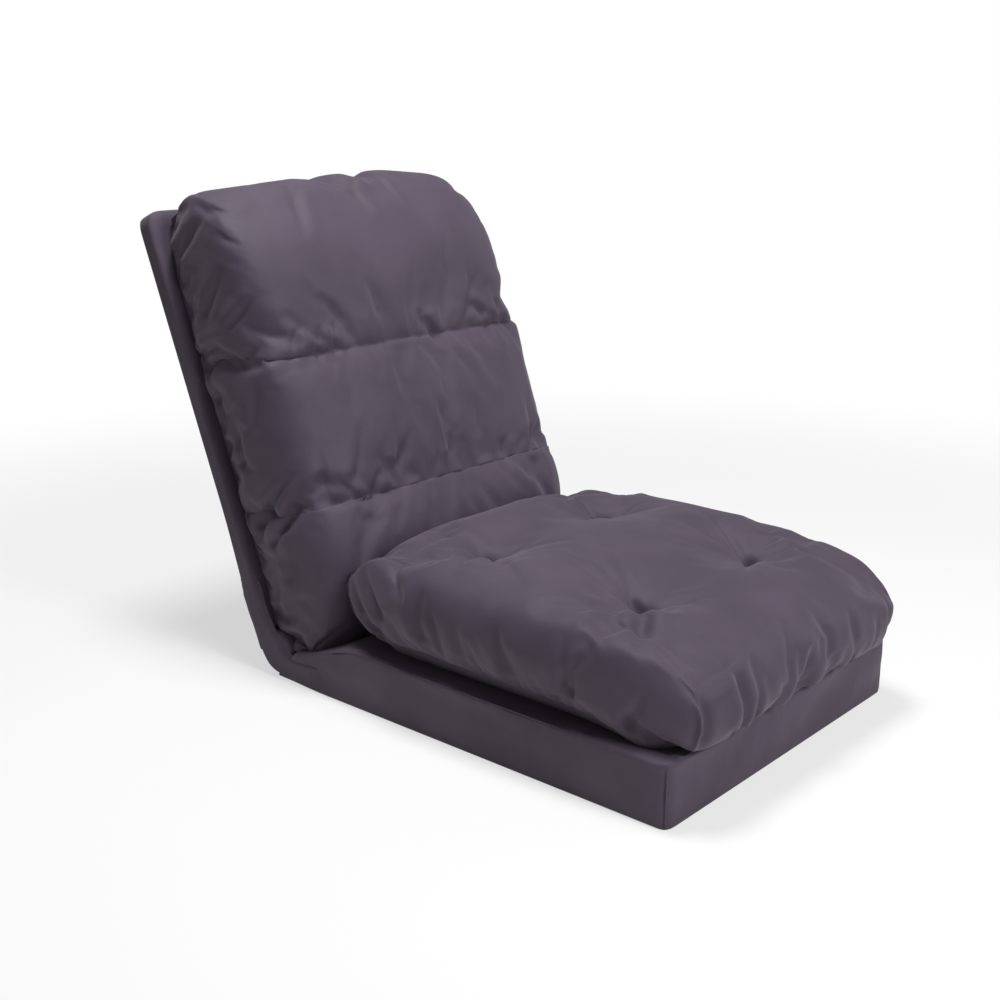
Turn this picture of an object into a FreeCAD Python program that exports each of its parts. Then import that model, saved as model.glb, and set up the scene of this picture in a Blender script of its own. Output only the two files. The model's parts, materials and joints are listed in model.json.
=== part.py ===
import FreeCAD, Part
import Sketcher
import math
import os
import re

# Folding floor chair: a base slab on the floor, a back that reclines on two ratchet hinges at the
# slab's rear, and a seat cushion sewn to the slab's front top edge, which flips over forwards.
# The origin is on the floor under the middle of the slab, X across, Z up, and the sitter faces -Y.

os.makedirs("parts", exist_ok=True)
doc = FreeCAD.newDocument("folding_floor_chair")

# Driving sizes, in millimetres and degrees
sizes = [
    ("width", 610, "base slab, side to side"),
    ("base_depth", 800, "base slab with its rounded hinge end, front to rear"),
    ("base_height", 94, "base slab, floor to top"),
    ("rear_height", 50, "base slab where the back's cushion presses it down"),
    ("slope_length", 135, "run of the pressed-down slope"),
    ("rear_ledge", 14, "level top behind the slope"),
    ("fabric_wall", 2, "cover cloth with its wadding"),
    ("underside_wall", 1.5, "non-slip cloth under the slab"),
    ("fit", 0.3, "gap between soft pieces that lie together"),
    ("tube_diameter", 19, "frame tube, outside"),
    ("tube_wall", 1.2, "frame tube wall"),
    ("bend_radius", 50, "frame tube bends, on the centre line"),
    ("core_corner", 35, "corners cut off the stiff boards inside the tube bends"),
    ("weld_bite", 0.3, "ends of the cross tubes let into the side tubes"),
    ("frame_height", 30, "base frame's centre above the floor"),
    ("frame_inset", 47, "side of the slab to the centre of the base's side tube"),
    ("frame_front", 60, "slab's front to the base frame's front tube"),
    ("frame_rear_gap", 35, "hinge axis to the rear ends of the base's side tubes"),
    ("middle_tube_share", 0.5, "place of the base's middle cross tube along its frame"),
    ("hinge_setback", 25, "slab's rear end to the hinge axis"),
    ("hinge_height", 45, "hinge axis above the floor"),
    ("roll_radius", 26, "fabric gusset round the hinge line"),
    ("roll_end_gap", 18, "gusset's end to the hinge plate"),
    ("lean", 21.9, "back from upright, as it stands"),
    ("recline", 68, "from the first notch down to the last"),
    ("positions", 5, "notches of the ratchet"),
    ("release", 4, "back's travel forwards of the first notch"),
    ("plate_wall", 3, "hinge plates"),
    ("plate_gap", 1, "between the hinge plates"),
    ("washer_wall", 0.8, "nylon washer"),
    ("washer_radius", 13, "nylon washer"),
    ("pin_radius", 5, "hinge pin"),
    ("pin_head_radius", 9, "hinge pin's heads"),
    ("pin_head", 2, "thickness of the hinge pin's heads"),
    ("pin_play", 0.1, "hinge pin's grip over the plates"),
    ("pin_clearance", 0.05, "round pins that turn"),
    ("plate_reach", 135, "hinge axis to the front end of the base's hinge plate"),
    ("plate_rise", 67.5, "hinge axis to where the plate's upper edge leaves its tube"),
    ("plate_dip", 45, "hinge axis to where the plate's lower edge leaves its tube"),
    ("neck_low", 17.6, "plate's neck below the hinge axis"),
    ("neck_high", 11, "plate's neck above the hinge axis"),
    ("neck_gap", 3, "plate's upper edge below the cover at the ledge, behind the gusset's front"),
    ("plate_slot_gap", 1.5, "plate's front end to the front of its slot in the foam"),
    ("quadrant_radius", 22, "ratchet quadrant over its teeth"),
    ("notch_depth", 3, "ratchet notches"),
    ("notch_mouth", 5.4, "width of a notch at the rim"),
    ("notch_floor", 3.2, "width of a notch at its floor"),
    ("nose_angle", 25, "pawl's nose, from the back's centre line"),
    ("pawl_pin_angle", 67, "pawl's pin, from the back's centre line"),
    ("pawl_pin_orbit", 27, "hinge axis to the pawl's pin"),
    ("pawl_pin_radius", 3, "pawl's pin"),
    ("pawl_pin_head_radius", 5, "heads of the pawl's pin"),
    ("pawl_pin_head", 1.5, "thickness of the heads of the pawl's pin"),
    ("pawl_boss", 4.5, "pawl's round end"),
    ("pawl_wall", 2.6, "pawl"),
    ("pawl_lift", 12, "pawl's swing out of a notch"),
    ("nose_gap", 0.5, "pawl's nose to the notch's floor when it has dropped in"),
    ("nose_tip", 2.2, "width of the pawl's nose at its end"),
    ("nose_root", 3.8, "width of the pawl's nose at the rim"),
    ("nose_height", 3.6, "pawl's nose"),
    ("pawl_back", 5.5, "pawl's bar over the nose"),
    ("pawl_foot", 3.15, "pawl's bar under its pin"),
    ("pawl_shoulder", 4.27, "pawl's bar over its pin"),
    ("spring_wire", 2, "torsion spring on the pawl's pin"),
    ("spring_leg", 14, "torsion spring's leg"),
    ("leg_wall", 1.5, "torsion spring's leg, front to rear"),
    ("arm_length", 150, "hinge axis to the top of the back's hinge arm"),
    ("arm_width", 18, "hinge arm beside its tube"),
    ("arm_eye", 16, "hinge arm round the axis"),
    ("arm_foot", 14.4, "hinge arm's straight edge below the axis"),
    ("arm_tube_start", 66, "hinge axis to the lower end of the back's tube"),
    ("panel_length", 742, "hinge axis to the top of the back panel"),
    ("panel_wall", 36, "back panel, front to rear"),
    ("panel_rear", 32, "hinge axis to the back panel's rear face"),
    ("panel_inset", 1, "side of the slab to the side of the back panel"),
    ("panel_corner", 22, "back panel's top corners"),
    ("back_tube_top", 42, "top of the back panel to the centre of its top tube"),
    ("lower_tube_height", 110, "back's lower cross tube above the hinge axis"),
    ("upper_tube_height", 410, "back's upper cross tube above the hinge axis"),
    ("slot_room", 9, "middles of the hinge plates to the sides of the slots in the back's covers"),
    ("cushion_inset", 1, "side of the slab to the sides of both cushions"),
    ("cushion_tuck", 2.6, "gusset to the back cushion's lower edge at the panel"),
    ("back_crown", 202, "back cushion's thickness at its fullest"),
    ("back_rise", 28, "top of the back panel to the top of the back cushion"),
    ("chin_height", 62, "hinge axis to the back cushion's lower front corner"),
    ("lower_seam", 235, "back cushion's lower seam above the hinge axis"),
    ("upper_seam", 480, "back cushion's upper seam above the hinge axis"),
    ("seam_sink", 10, "seams below the crown of the channels"),
    ("seat_gap", 12, "seat cushion's rear to the back cushion's lower front corner"),
    ("seat_crown", 171, "seat cushion's thickness at its fullest"),
    ("seat_side_lift", 28, "seat cushion's lower side edges above its underside"),
    ("seat_row_sink", 13, "rows of tufts below the crown"),
    ("tuft_sink", 18, "tufts below their rows"),
    ("tuft_pull", 80, "reach of a tuft's dimple to each side"),
    ("tuft_spread", 145, "middle of the seat to each tuft"),
    ("front_tufts", 165, "seat's front to the front tufts"),
    ("rear_tufts", 455, "seat's front to the rear tufts"),
    ("thread_radius", 1.5, "tufting thread"),
    ("tape_width", 24, "sewn hinge tape under the seat cushion's front"),
    ("tape_wall", 1.2, "sewn hinge tape"),
]
sheet = doc.addObject("Spreadsheet::Sheet", "Sizes")
for row, (alias, number, note) in enumerate(sizes, 1):
    sheet.set(f"A{row}", note)
    sheet.set(f"B{row}", str(number))
    sheet.setAlias(f"B{row}", alias)
doc.recompute()
aliases = {alias for alias, number, note in sizes}

# Sizes that follow from the driving ones, as expressions
hinge_y = "(base_depth / 2 - hinge_setback)"
hinge_gap_y = f"({hinge_y} - roll_radius - fit)"
front_y = "(-base_depth / 2)"
tube_x = "(width / 2 - frame_inset)"
tube_radius = "(tube_diameter / 2)"
plate_x = f"({tube_x} + {tube_radius} + plate_wall / 2)"
arm_x = f"({plate_x} + plate_wall + plate_gap)"
back_tube_x = f"({arm_x} - plate_wall / 2 - {tube_radius})"
back_tube_y = "(panel_rear - panel_wall / 2)"
panel_x = "(width / 2 - panel_inset)"
cushion_x = "(width / 2 - cushion_inset)"
slot_inner = f"({plate_x} - slot_room)"
slot_outer = f"({arm_x} + slot_room)"
notch_root = "(quadrant_radius - notch_depth)"
seat_floor = "(base_height + fit + tape_wall + fit)"
slope_start = f"({hinge_gap_y} - rear_ledge - slope_length)"
slope_end = f"({hinge_gap_y} - rear_ledge)"


def bound(text):
    """An expression over the sheet's aliases, as the document's objects read it."""
    return re.sub(r"[a-z_]+", lambda word: "Sizes." * (word[0] in aliases) + word[0], str(text))


def value(text):
    """The number that such an expression gives."""
    return float(sheet.evalExpression(str(text)))


def origin(body, role):
    """A body's own plane or axis."""
    return [item for item in body.Origin.OriginFeatures if item.Role == role][0]


def new_body(name):
    return doc.addObject("PartDesign::Body", name)


def place(thing, x="0", y="0", z="0", angle="0"):
    """Puts a piece at a point, turned about X."""
    thing.Placement = FreeCAD.Placement(FreeCAD.Vector(), FreeCAD.Rotation(FreeCAD.Vector(1, 0, 0), 1))
    for axis, text in zip("xyz", (x, y, z)):
        thing.setExpression(f"Placement.Base.{axis}", bound(text))
    thing.setExpression("Placement.Rotation.Angle", bound(angle))
    return thing


def on_hinge(thing, x="0", angle="0"):
    return place(thing, x, hinge_y, "hinge_height", angle)


def with_back(thing, x="0"):
    """Puts a piece that is drawn upright over the hinge axis where the leaning back has it."""
    return on_hinge(thing, x, "-lean")


def draw(body, name, plane, points, offset="0", arcs=None, closed=True):
    """A sketch through points given as expressions. arcs gives the centre of the side after a point."""
    sketch = body.newObject("Sketcher::SketchObject", name)
    sketch.AttachmentSupport = [(origin(body, plane), "")]
    sketch.MapMode = "FlatFace"
    sketch.setExpression(".AttachmentOffset.Base.z", bound(offset))
    places = [FreeCAD.Vector(value(x), value(y), 0) for x, y in points]
    arcs = arcs or {}
    ends = []
    for side in range(len(points) - (not closed)):
        start, finish = places[side], places[(side + 1) % len(places)]
        if side not in arcs:
            sketch.addGeometry(Part.LineSegment(start, finish), False)
            ends.append((1, 2))
            continue
        centre = FreeCAD.Vector(value(arcs[side][0]), value(arcs[side][1]), 0)
        first, last = [math.atan2(p.y - centre.y, p.x - centre.x) for p in (start, finish)]
        forwards = (last - first) % (2 * math.pi) < math.pi
        if not forwards:
            first, last = last, first
        circle = Part.Circle(centre, FreeCAD.Vector(0, 0, 1), (start - centre).Length)
        sketch.addGeometry(Part.ArcOfCircle(circle, first, last), False)
        ends.append((1, 2) if forwards else (2, 1))
    for side in range(len(ends) - (not closed)):
        following = (side + 1) % len(ends)
        sketch.addConstraint(
            Sketcher.Constraint("Coincident", side, ends[side][1], following, ends[following][0])
        )
    corners = [(side, end[0]) for side, end in enumerate(ends)]
    if not closed:
        corners.append((len(ends) - 1, ends[-1][1]))
    for (side, end), (x, y), spot in zip(corners, points, places):
        hold(sketch, "DistanceX", side, end, x, spot.x)
        hold(sketch, "DistanceY", side, end, y, spot.y)
    for side, (x, y) in arcs.items():
        hold(sketch, "DistanceX", side, 3, x, value(x))
    return sketch


def hold(sketch, kind, side, end, text, number):
    """Ties one coordinate of a sketch's point to an expression."""
    index = sketch.addConstraint(Sketcher.Constraint(kind, -1, 1, side, end, number))
    sketch.setExpression(f"Constraints[{index}]", bound(text))


def ring(body, name, plane, radii, offset="0", centre=("0", "0")):
    """A sketch of circles about one point."""
    sketch = body.newObject("Sketcher::SketchObject", name)
    sketch.AttachmentSupport = [(origin(body, plane), "")]
    sketch.MapMode = "FlatFace"
    sketch.setExpression(".AttachmentOffset.Base.z", bound(offset))
    middle = FreeCAD.Vector(value(centre[0]), value(centre[1]), 0)
    for side, radius in enumerate(radii):
        sketch.addGeometry(Part.Circle(middle, FreeCAD.Vector(0, 0, 1), value(radius)), False)
        hold(sketch, "DistanceX", side, 3, centre[0], middle.x)
        hold(sketch, "DistanceY", side, 3, centre[1], middle.y)
        index = sketch.addConstraint(Sketcher.Constraint("Radius", side, value(radius)))
        sketch.setExpression(f"Constraints[{index}]", bound(radius))
    return sketch


def pad(body, name, sketch, length, both_ways=True):
    made = body.newObject("PartDesign::Pad", name)
    made.Profile = sketch
    made.SideType = "Symmetric" if both_ways else "One side"
    made.setExpression("Length", bound(length))
    return made


def pocket(body, name, sketch, length):
    made = body.newObject("PartDesign::Pocket", name)
    made.Profile = sketch
    made.SideType = "Symmetric"
    made.setExpression("Length", bound(length))
    return made


def turned(name, profile):
    """A piece turned about X, from points given as (x, radius)."""
    body = new_body(name)
    made = body.newObject("PartDesign::Revolution", name + "_turn")
    made.Profile = draw(body, name + "_profile", "XY_Plane", profile)
    made.ReferenceAxis = (origin(body, "X_Axis"), [""])
    made.Angle = 360
    return body


def slab(name, plane, points, length):
    """A board: an outline given a thickness both ways from its plane."""
    body = new_body(name)
    pad(body, name + "_board", draw(body, name + "_outline", plane, points), length)
    return body


def rectangle(low_x, high_x, low_y, high_y):
    return [(low_x, low_y), (high_x, low_y), (high_x, high_y), (low_x, high_y)]


def cropped(low_x, high_x, low_y, high_y, cut, ends):
    """A rectangle whose corners at the given ends, low or high, are cut off at 45 degrees."""
    points = []
    if "low" in ends:
        points += [(low_x, f"{low_y} + {cut}"), (f"{low_x} + {cut}", low_y)]
        points += [(f"{high_x} - {cut}", low_y), (high_x, f"{low_y} + {cut}")]
    else:
        points += [(low_x, low_y), (high_x, low_y)]
    if "high" in ends:
        points += [(high_x, f"{high_y} - {cut}"), (f"{high_x} - {cut}", high_y)]
        points += [(f"{low_x} + {cut}", high_y), (low_x, f"{high_y} - {cut}")]
    else:
        points += [(high_x, high_y), (low_x, high_y)]
    return points


def bent_tube(name, plane, half, open_end, closed_end, turn, level):
    """A U of round tube: two legs from open_end and a bar at closed_end, bent on bend_radius.

    turn is 1 where the bar lies further along the plane's second axis than the open ends, or -1.
    """
    body = new_body(name)
    knee = f"({closed_end} - {turn} * bend_radius)"
    corner = f"({half} - bend_radius)"
    points = [
        (f"-{half}", open_end), (f"-{half}", knee), (f"-{corner}", closed_end),
        (corner, closed_end), (half, knee), (half, open_end),
    ]
    arcs = {1: (f"-{corner}", knee), 3: (corner, knee)}
    path = draw(body, name + "_path", plane, points, level, arcs, closed=False)
    across = "XZ_Plane" if plane == "XY_Plane" else "XY_Plane"
    middle = (f"-{half}", level if plane == "XY_Plane" else f"-{level}")
    shift = f"-{open_end}" if plane == "XY_Plane" else open_end
    radii = [tube_radius, f"{tube_radius} - tube_wall"]
    profile = ring(body, name + "_section", across, radii, shift, middle)
    pipe = body.newObject("PartDesign::AdditivePipe", name + "_pipe")
    pipe.Profile = profile
    pipe.Spine = (path, [f"Edge{number}" for number in range(1, 6)])
    return body


def cross_tube(name, half, y, z):
    """A straight tube between the legs of a frame, its ends cut to sit on them."""
    body = new_body(name)
    radii = [tube_radius, f"{tube_radius} - tube_wall"]
    section = ring(body, name + "_section", "YZ_Plane", radii, "0", (y, z))
    pad(body, name + "_run", section, f"2 * ({half} - {tube_radius} - weld_bite)")
    return body


hands = [(-1, "left"), (1, "right")]

# Base slab
bent_tube("base_frame_tube", "XY_Plane", tube_x, f"({hinge_y} - frame_rear_gap)",
          f"({front_y} + frame_front)", -1, "frame_height")
frame_length = f"({hinge_y} - frame_rear_gap - {front_y} - frame_front)"
middle_tube_y = f"({front_y} + frame_front + {frame_length} * middle_tube_share)"
rear_tube_y = f"({hinge_y} - frame_rear_gap - tube_diameter)"
cross_tube("base_middle_cross_tube", tube_x, middle_tube_y, "frame_height")
cross_tube("base_rear_cross_tube", tube_x, rear_tube_y, "frame_height")

core_x = f"({tube_x} - {tube_radius} - fit)"
bays = [
    ("base_core_front", f"({front_y} + frame_front + {tube_radius} + fit)",
     f"({middle_tube_y} - {tube_radius} - fit)", ["low"]),
    ("base_core_rear", f"({middle_tube_y} + {tube_radius} + fit)",
     f"({rear_tube_y} - {tube_radius} - fit)", []),
]
for name, front, rear, ends in bays:
    board = slab(name, "XY_Plane", cropped(f"-{core_x}", core_x, front, rear, "core_corner", ends),
                 "tube_diameter")
    place(board, z="frame_height")

inner_x = "(width / 2 - fabric_wall - fit)"
inner_front = f"({front_y} + fabric_wall + fit)"
inner_rear = f"({hinge_gap_y} - fabric_wall - fit)"
inner_top = "(base_height - fabric_wall - fit)"
inner_ledge = "(rear_height - fabric_wall - fit)"
foam_floor = "(underside_wall + fit)"
frame_top = f"(frame_height + {tube_radius} + fit)"
frame_bottom = f"(frame_height - {tube_radius} - fit)"
hinge_slot_front = f"({hinge_y} - plate_reach - plate_slot_gap)"


def hinge_slots(body, name, points):
    """Cuts a slot through a soft piece of the base round each hinge plate."""
    inner = f"({plate_x} - plate_wall)"
    outer = f"({plate_x} + 2 * plate_wall)"
    for side, hand in hands:
        middle = f"({side} * ({inner} + {outer}) / 2)"
        sketch = draw(body, f"{name}_{hand}_slot_outline", "YZ_Plane", points, middle)
        pocket(body, f"{name}_{hand}_slot", sketch, f"{outer} - {inner}")


lower_outline = rectangle(inner_front, inner_rear, foam_floor, frame_bottom)
lower = slab("base_foam_lower", "YZ_Plane", lower_outline, f"2 * {inner_x}")
upper = slab("base_foam_upper", "YZ_Plane", [
    (inner_front, frame_top), (inner_rear, frame_top), (inner_rear, inner_ledge),
    (slope_end, inner_ledge), (slope_start, inner_top), (inner_front, inner_top),
], f"2 * {inner_x}")
plate_low = "(frame_height - tube_diameter)"
foam_slot = rectangle(hinge_slot_front, f"({inner_rear} + fabric_wall)", plate_low,
                      "(base_height + fabric_wall)")
for body in (lower, upper):
    hinge_slots(body, body.Name, foam_slot)

cover = slab("base_cover", "YZ_Plane", [
    (front_y, "0"), (hinge_gap_y, "0"), (hinge_gap_y, "rear_height"), (slope_end, "rear_height"),
    (slope_start, "base_height"), (front_y, "base_height"),
], "width")
cover_front = f"({front_y} + fabric_wall)"
cover_rear = f"({hinge_gap_y} - fabric_wall)"
cover_top = "(base_height - fabric_wall)"
cover_ledge = "(rear_height - fabric_wall)"
inside = draw(cover, "base_cover_inside", "YZ_Plane", [
    (cover_front, "-fabric_wall"), (cover_rear, "-fabric_wall"), (cover_rear, cover_ledge),
    (slope_end, cover_ledge), (slope_start, cover_top), (cover_front, cover_top),
])
pocket(cover, "base_cover_hollow", inside, "width - 2 * fabric_wall")
cover_slot = rectangle(slope_end, f"({hinge_gap_y} + fabric_wall)", plate_low, "(rear_height + fabric_wall)")
hinge_slots(cover, "base_cover", cover_slot)

cloth_outline = rectangle(f"-{inner_x}", inner_x, inner_front, inner_rear)
cloth = slab("base_underside_cloth", "XY_Plane", cloth_outline, "underside_wall")
place(cloth, z="underside_wall / 2")

tape_x = "(width / 2 - tape_width)"
tape_outline = rectangle(f"-{tape_x}", tape_x, front_y, f"({front_y} + tape_width)")
tape = slab("seat_hinge_tape", "XY_Plane", tape_outline, "tape_wall")
place(tape, z="base_height + fit + tape_wall / 2")

# Hinge line: fabric gusset, its foam roll, and a ratchet hinge at each side
roll_half = f"({plate_x} - plate_wall / 2 - roll_end_gap)"
gusset_inner = "(roll_radius - fabric_wall)"
on_hinge(turned("hinge_gusset", rectangle(f"-{roll_half}", roll_half, gusset_inner, "roll_radius")))
on_hinge(turned("hinge_foam_roll", rectangle(f"-{roll_half}", roll_half, "0", f"({gusset_inner} - fit)")))


def notch_at(body, name, turn):
    """Cuts one notch into the quadrant's rim, at an angle forwards of upright."""
    edge = "(quadrant_radius + notch_depth)"
    flare = "(notch_mouth + (notch_mouth - notch_floor))"

    def turned_point(along, out):
        return (f"({along} * cos({turn} * 1 deg) - {out} * sin({turn} * 1 deg))",
                f"({along} * sin({turn} * 1 deg) + {out} * cos({turn} * 1 deg))")

    outline = [
        turned_point("(-notch_floor / 2)", notch_root), turned_point("(notch_floor / 2)", notch_root),
        turned_point(f"({flare} / 2)", edge), turned_point(f"(-{flare} / 2)", edge),
    ]
    return pocket(body, name, draw(body, name + "_outline", "YZ_Plane", outline), "2 * plate_wall")


def hinge_plate(side, hand):
    """The base's plate: a strip welded to the side tube, and a quadrant with the ratchet's notches."""
    name = "hinge_plate_" + hand
    body = new_body(name)
    drop = "(frame_height - hinge_height)"
    low = f"({drop} - {tube_radius})"
    high = f"({drop} + {tube_radius})"
    strip = draw(body, name + "_strip", "YZ_Plane", [
        ("-plate_reach", low), ("-plate_dip", low), ("0", "-neck_low"), ("0", "neck_high"),
        ("(-roll_radius - neck_gap)", "(rear_height - hinge_height - neck_gap)"),
        ("-plate_rise", high), ("-plate_reach", high),
    ])
    pad(body, name + "_neck", strip, "plate_wall")
    pad(body, name + "_quadrant", ring(body, name + "_rim", "YZ_Plane", ["quadrant_radius"]), "plate_wall")
    bore = ring(body, name + "_bore", "YZ_Plane", ["pin_radius + pin_clearance"])
    pocket(body, name + "_eye", bore, "2 * plate_wall")
    notch_at(body, name + "_release_run", "(nose_angle - lean + release)")
    notch = notch_at(body, name + "_notch", "(nose_angle - lean)")
    row = body.newObject("PartDesign::PolarPattern", name + "_notches")
    row.Originals = [notch]
    row.Axis = (origin(body, "X_Axis"), [""])
    row.Reversed = True
    row.setExpression("Angle", bound("recline"))
    row.setExpression("Occurrences", bound("positions"))
    body.Tip = row
    on_hinge(body, f"{side} * {plate_x}")


def hinge_pin(side, hand):
    grip = f"(plate_wall / 2 + {arm_x} - {plate_x} + plate_wall / 2)"
    near = f"(-{side} * plate_wall / 2)"
    near_head = f"({near} - {side} * pin_head)"
    far = f"({near} + {side} * ({grip} + pin_play))"
    far_head = f"({far} + {side} * pin_head)"
    pin = turned("hinge_pin_" + hand, [
        (near_head, "0"), (near_head, "pin_head_radius"), (near, "pin_head_radius"), (near, "pin_radius"),
        (far, "pin_radius"), (far, "pin_head_radius"), (far_head, "pin_head_radius"), (far_head, "0"),
    ])
    on_hinge(pin, f"{side} * {plate_x}")
    washer = turned("hinge_washer_" + hand, rectangle(
        "-washer_wall / 2", "washer_wall / 2", "(pin_radius + pin_clearance)", "washer_radius"))
    on_hinge(washer, f"{side} * ({plate_x} + {arm_x}) / 2")


pawl_pin_y = "(-pawl_pin_orbit * sin(pawl_pin_angle * 1 deg))"
pawl_pin_z = "(pawl_pin_orbit * cos(pawl_pin_angle * 1 deg))"


def hinge_arm(side, hand):
    """The back's plate: an eye on the hinge pin, a lobe for the pawl's pin, and a strip on the tube."""
    name = "hinge_arm_" + hand
    body = new_body(name)
    lobe = f"({pawl_pin_y} - pawl_pin_head_radius - fit)"
    rear = f"({back_tube_y} + arm_width / 2)"
    front = f"({back_tube_y} - arm_width / 2)"
    strip = draw(body, name + "_strip", "YZ_Plane", [
        ("0", "-arm_foot"), (rear, "arm_eye"), (rear, "arm_length"), (front, "arm_length"),
        (front, "arm_tube_start"), (lobe, f"({pawl_pin_z} + pawl_boss)"),
        (lobe, f"({pawl_pin_z} - pawl_boss)"),
    ])
    pad(body, name + "_plate", strip, "plate_wall")
    pad(body, name + "_eye", ring(body, name + "_rim", "YZ_Plane", ["arm_eye"]), "plate_wall")
    bore = ring(body, name + "_bore", "YZ_Plane", ["pin_radius + pin_clearance"])
    pocket(body, name + "_hinge_bore", bore, "2 * plate_wall")
    small_bore = ring(body, name + "_small_bore", "YZ_Plane", ["pawl_pin_radius + pin_clearance"],
                      centre=(pawl_pin_y, pawl_pin_z))
    pocket(body, name + "_pawl_bore", small_bore, "2 * plate_wall")
    with_back(body, f"{side} * {arm_x}")


def at_pawl_pin(thing, x, angle):
    """Puts a piece on the pawl's pin, turned about X from upright."""
    turn = "(pawl_pin_angle - lean)"
    return place(thing, x, f"{hinge_y} - pawl_pin_orbit * sin({turn} * 1 deg)",
                 f"hinge_height + pawl_pin_orbit * cos({turn} * 1 deg)", angle)


# The pawl is drawn about its pin, with +Z straight out from the hinge axis at its nose
nose_offset = "(pawl_pin_orbit * sin((pawl_pin_angle - nose_angle) * 1 deg))"
nose_end = f"({notch_root} + nose_gap - pawl_pin_orbit * cos((pawl_pin_angle - nose_angle) * 1 deg))"


def pawl(side, hand):
    name = "pawl_" + hand
    body = new_body(name)
    rim = f"({nose_end} + nose_height)"
    bar = draw(body, name + "_bar_outline", "YZ_Plane", [
        ("0", "-pawl_foot"), (f"({nose_offset} - nose_root / 2)", rim),
        (f"({nose_offset} - nose_tip / 2)", nose_end), (f"({nose_offset} + nose_tip / 2)", nose_end),
        (f"({nose_offset} + nose_root / 2)", rim),
        (f"({nose_offset} + nose_root / 2)", f"({rim} + pawl_back)"), ("0", "pawl_shoulder"),
    ])
    pad(body, name + "_bar", bar, "pawl_wall")
    pad(body, name + "_boss", ring(body, name + "_boss_outline", "YZ_Plane", ["pawl_boss"]), "pawl_wall")
    bore = ring(body, name + "_bore", "YZ_Plane", ["pawl_pin_radius + pin_clearance"])
    pocket(body, name + "_eye", bore, "2 * pawl_wall")
    at_pawl_pin(body, f"{side} * {plate_x}", "nose_angle - lean + pawl_lift")


def pawl_pin(side, hand):
    """Pin from the hinge arm through the pawl, with the torsion spring's coil on its inner end."""
    arm_face = f"({side} * ({arm_x} - {plate_x} + plate_wall / 2))"
    riveted = f"({arm_face} + {side} * pawl_pin_head)"
    coil_face = f"(-{side} * (pawl_wall / 2 + fit + spring_wire + fit))"
    head = f"({coil_face} - {side} * pawl_pin_head)"
    pin = turned("pawl_pin_" + hand, [
        (head, "0"), (head, "pawl_pin_head_radius"), (coil_face, "pawl_pin_head_radius"),
        (coil_face, "pawl_pin_radius"), (arm_face, "pawl_pin_radius"),
        (arm_face, "pawl_pin_head_radius"), (riveted, "pawl_pin_head_radius"), (riveted, "0"),
    ])
    at_pawl_pin(pin, f"{side} * {plate_x}", "0")


def pawl_spring(side, hand):
    """Torsion spring: its coil as one ring on the pawl's pin, and the leg that bears on the arm."""
    name = "pawl_spring_" + hand
    body = new_body(name)
    bore = "(pawl_pin_radius + fit)"
    rim = f"({bore} + spring_wire)"
    leg = draw(body, name + "_leg_outline", "YZ_Plane", rectangle(
        f"({rim} - leg_wall)", rim, "0", "spring_leg"))
    pad(body, name + "_coil", ring(body, name + "_coil_outline", "YZ_Plane", [rim, bore]), "spring_wire")
    pad(body, name + "_leg", leg, "spring_wire")
    at_pawl_pin(body, f"{side} * ({plate_x} - pawl_wall / 2 - fit - spring_wire / 2)", "-lean")


for side, hand in hands:
    for make in (hinge_plate, hinge_pin, hinge_arm, pawl, pawl_pin, pawl_spring):
        make(side, hand)

# Back panel, drawn upright over the hinge axis
back_bar = "(panel_length - back_tube_top)"
with_back(bent_tube("back_frame_tube", "XZ_Plane", back_tube_x, "arm_tube_start", back_bar, 1,
                    f"(-{back_tube_y})"))
with_back(cross_tube("back_lower_cross_tube", back_tube_x, back_tube_y, "lower_tube_height"))
with_back(cross_tube("back_upper_cross_tube", back_tube_x, back_tube_y, "upper_tube_height"))
back_core_x = f"({back_tube_x} - {tube_radius} - fit)"
back_bays = [
    ("back_core_lower", f"(lower_tube_height + {tube_radius} + fit)",
     f"(upper_tube_height - {tube_radius} - fit)", []),
    ("back_core_upper", f"(upper_tube_height + {tube_radius} + fit)",
     f"({back_bar} - {tube_radius} - fit)", ["high"]),
]


def upright(name, outline, rear, front):
    """A board standing in the back panel, between two distances behind the hinge axis."""
    body = new_body(name)
    sketch = draw(body, name + "_outline", "XZ_Plane", outline, f"(-({rear} + {front}) / 2)")
    pad(body, name + "_board", sketch, f"{rear} - {front}")
    return body


tube_rear = f"({back_tube_y} + {tube_radius})"
tube_front = f"({back_tube_y} - {tube_radius})"
for name, low, high, ends in back_bays:
    with_back(upright(name, cropped(f"-{back_core_x}", back_core_x, low, high, "core_corner", ends),
                      tube_rear, tube_front))

panel_low = "(roll_radius + fit)"
panel_front = "(panel_rear - panel_wall)"
panel_inner_x = f"({panel_x} - fabric_wall - fit)"
panel_inner_top = "(panel_length - fabric_wall - fit)"


def panel_slots(body, name, rear, front):
    """Cuts a slot up from the lower edge of a piece of the back round each hinge arm."""
    for side, hand in hands:
        middle = f"({side} * ({slot_inner} + {slot_outer}) / 2)"
        half = f"(({slot_outer} - {slot_inner}) / 2)"
        outline = rectangle(f"({middle} - {half})", f"({middle} + {half})", "-arm_tube_start",
                            "arm_tube_start")
        sketch = draw(body, f"{name}_{hand}_slot_outline", "XZ_Plane", outline, f"(-({rear} + {front}) / 2)")
        pocket(body, f"{name}_{hand}_slot", sketch, f"{rear} - {front} + 2 * fabric_wall")


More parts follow.
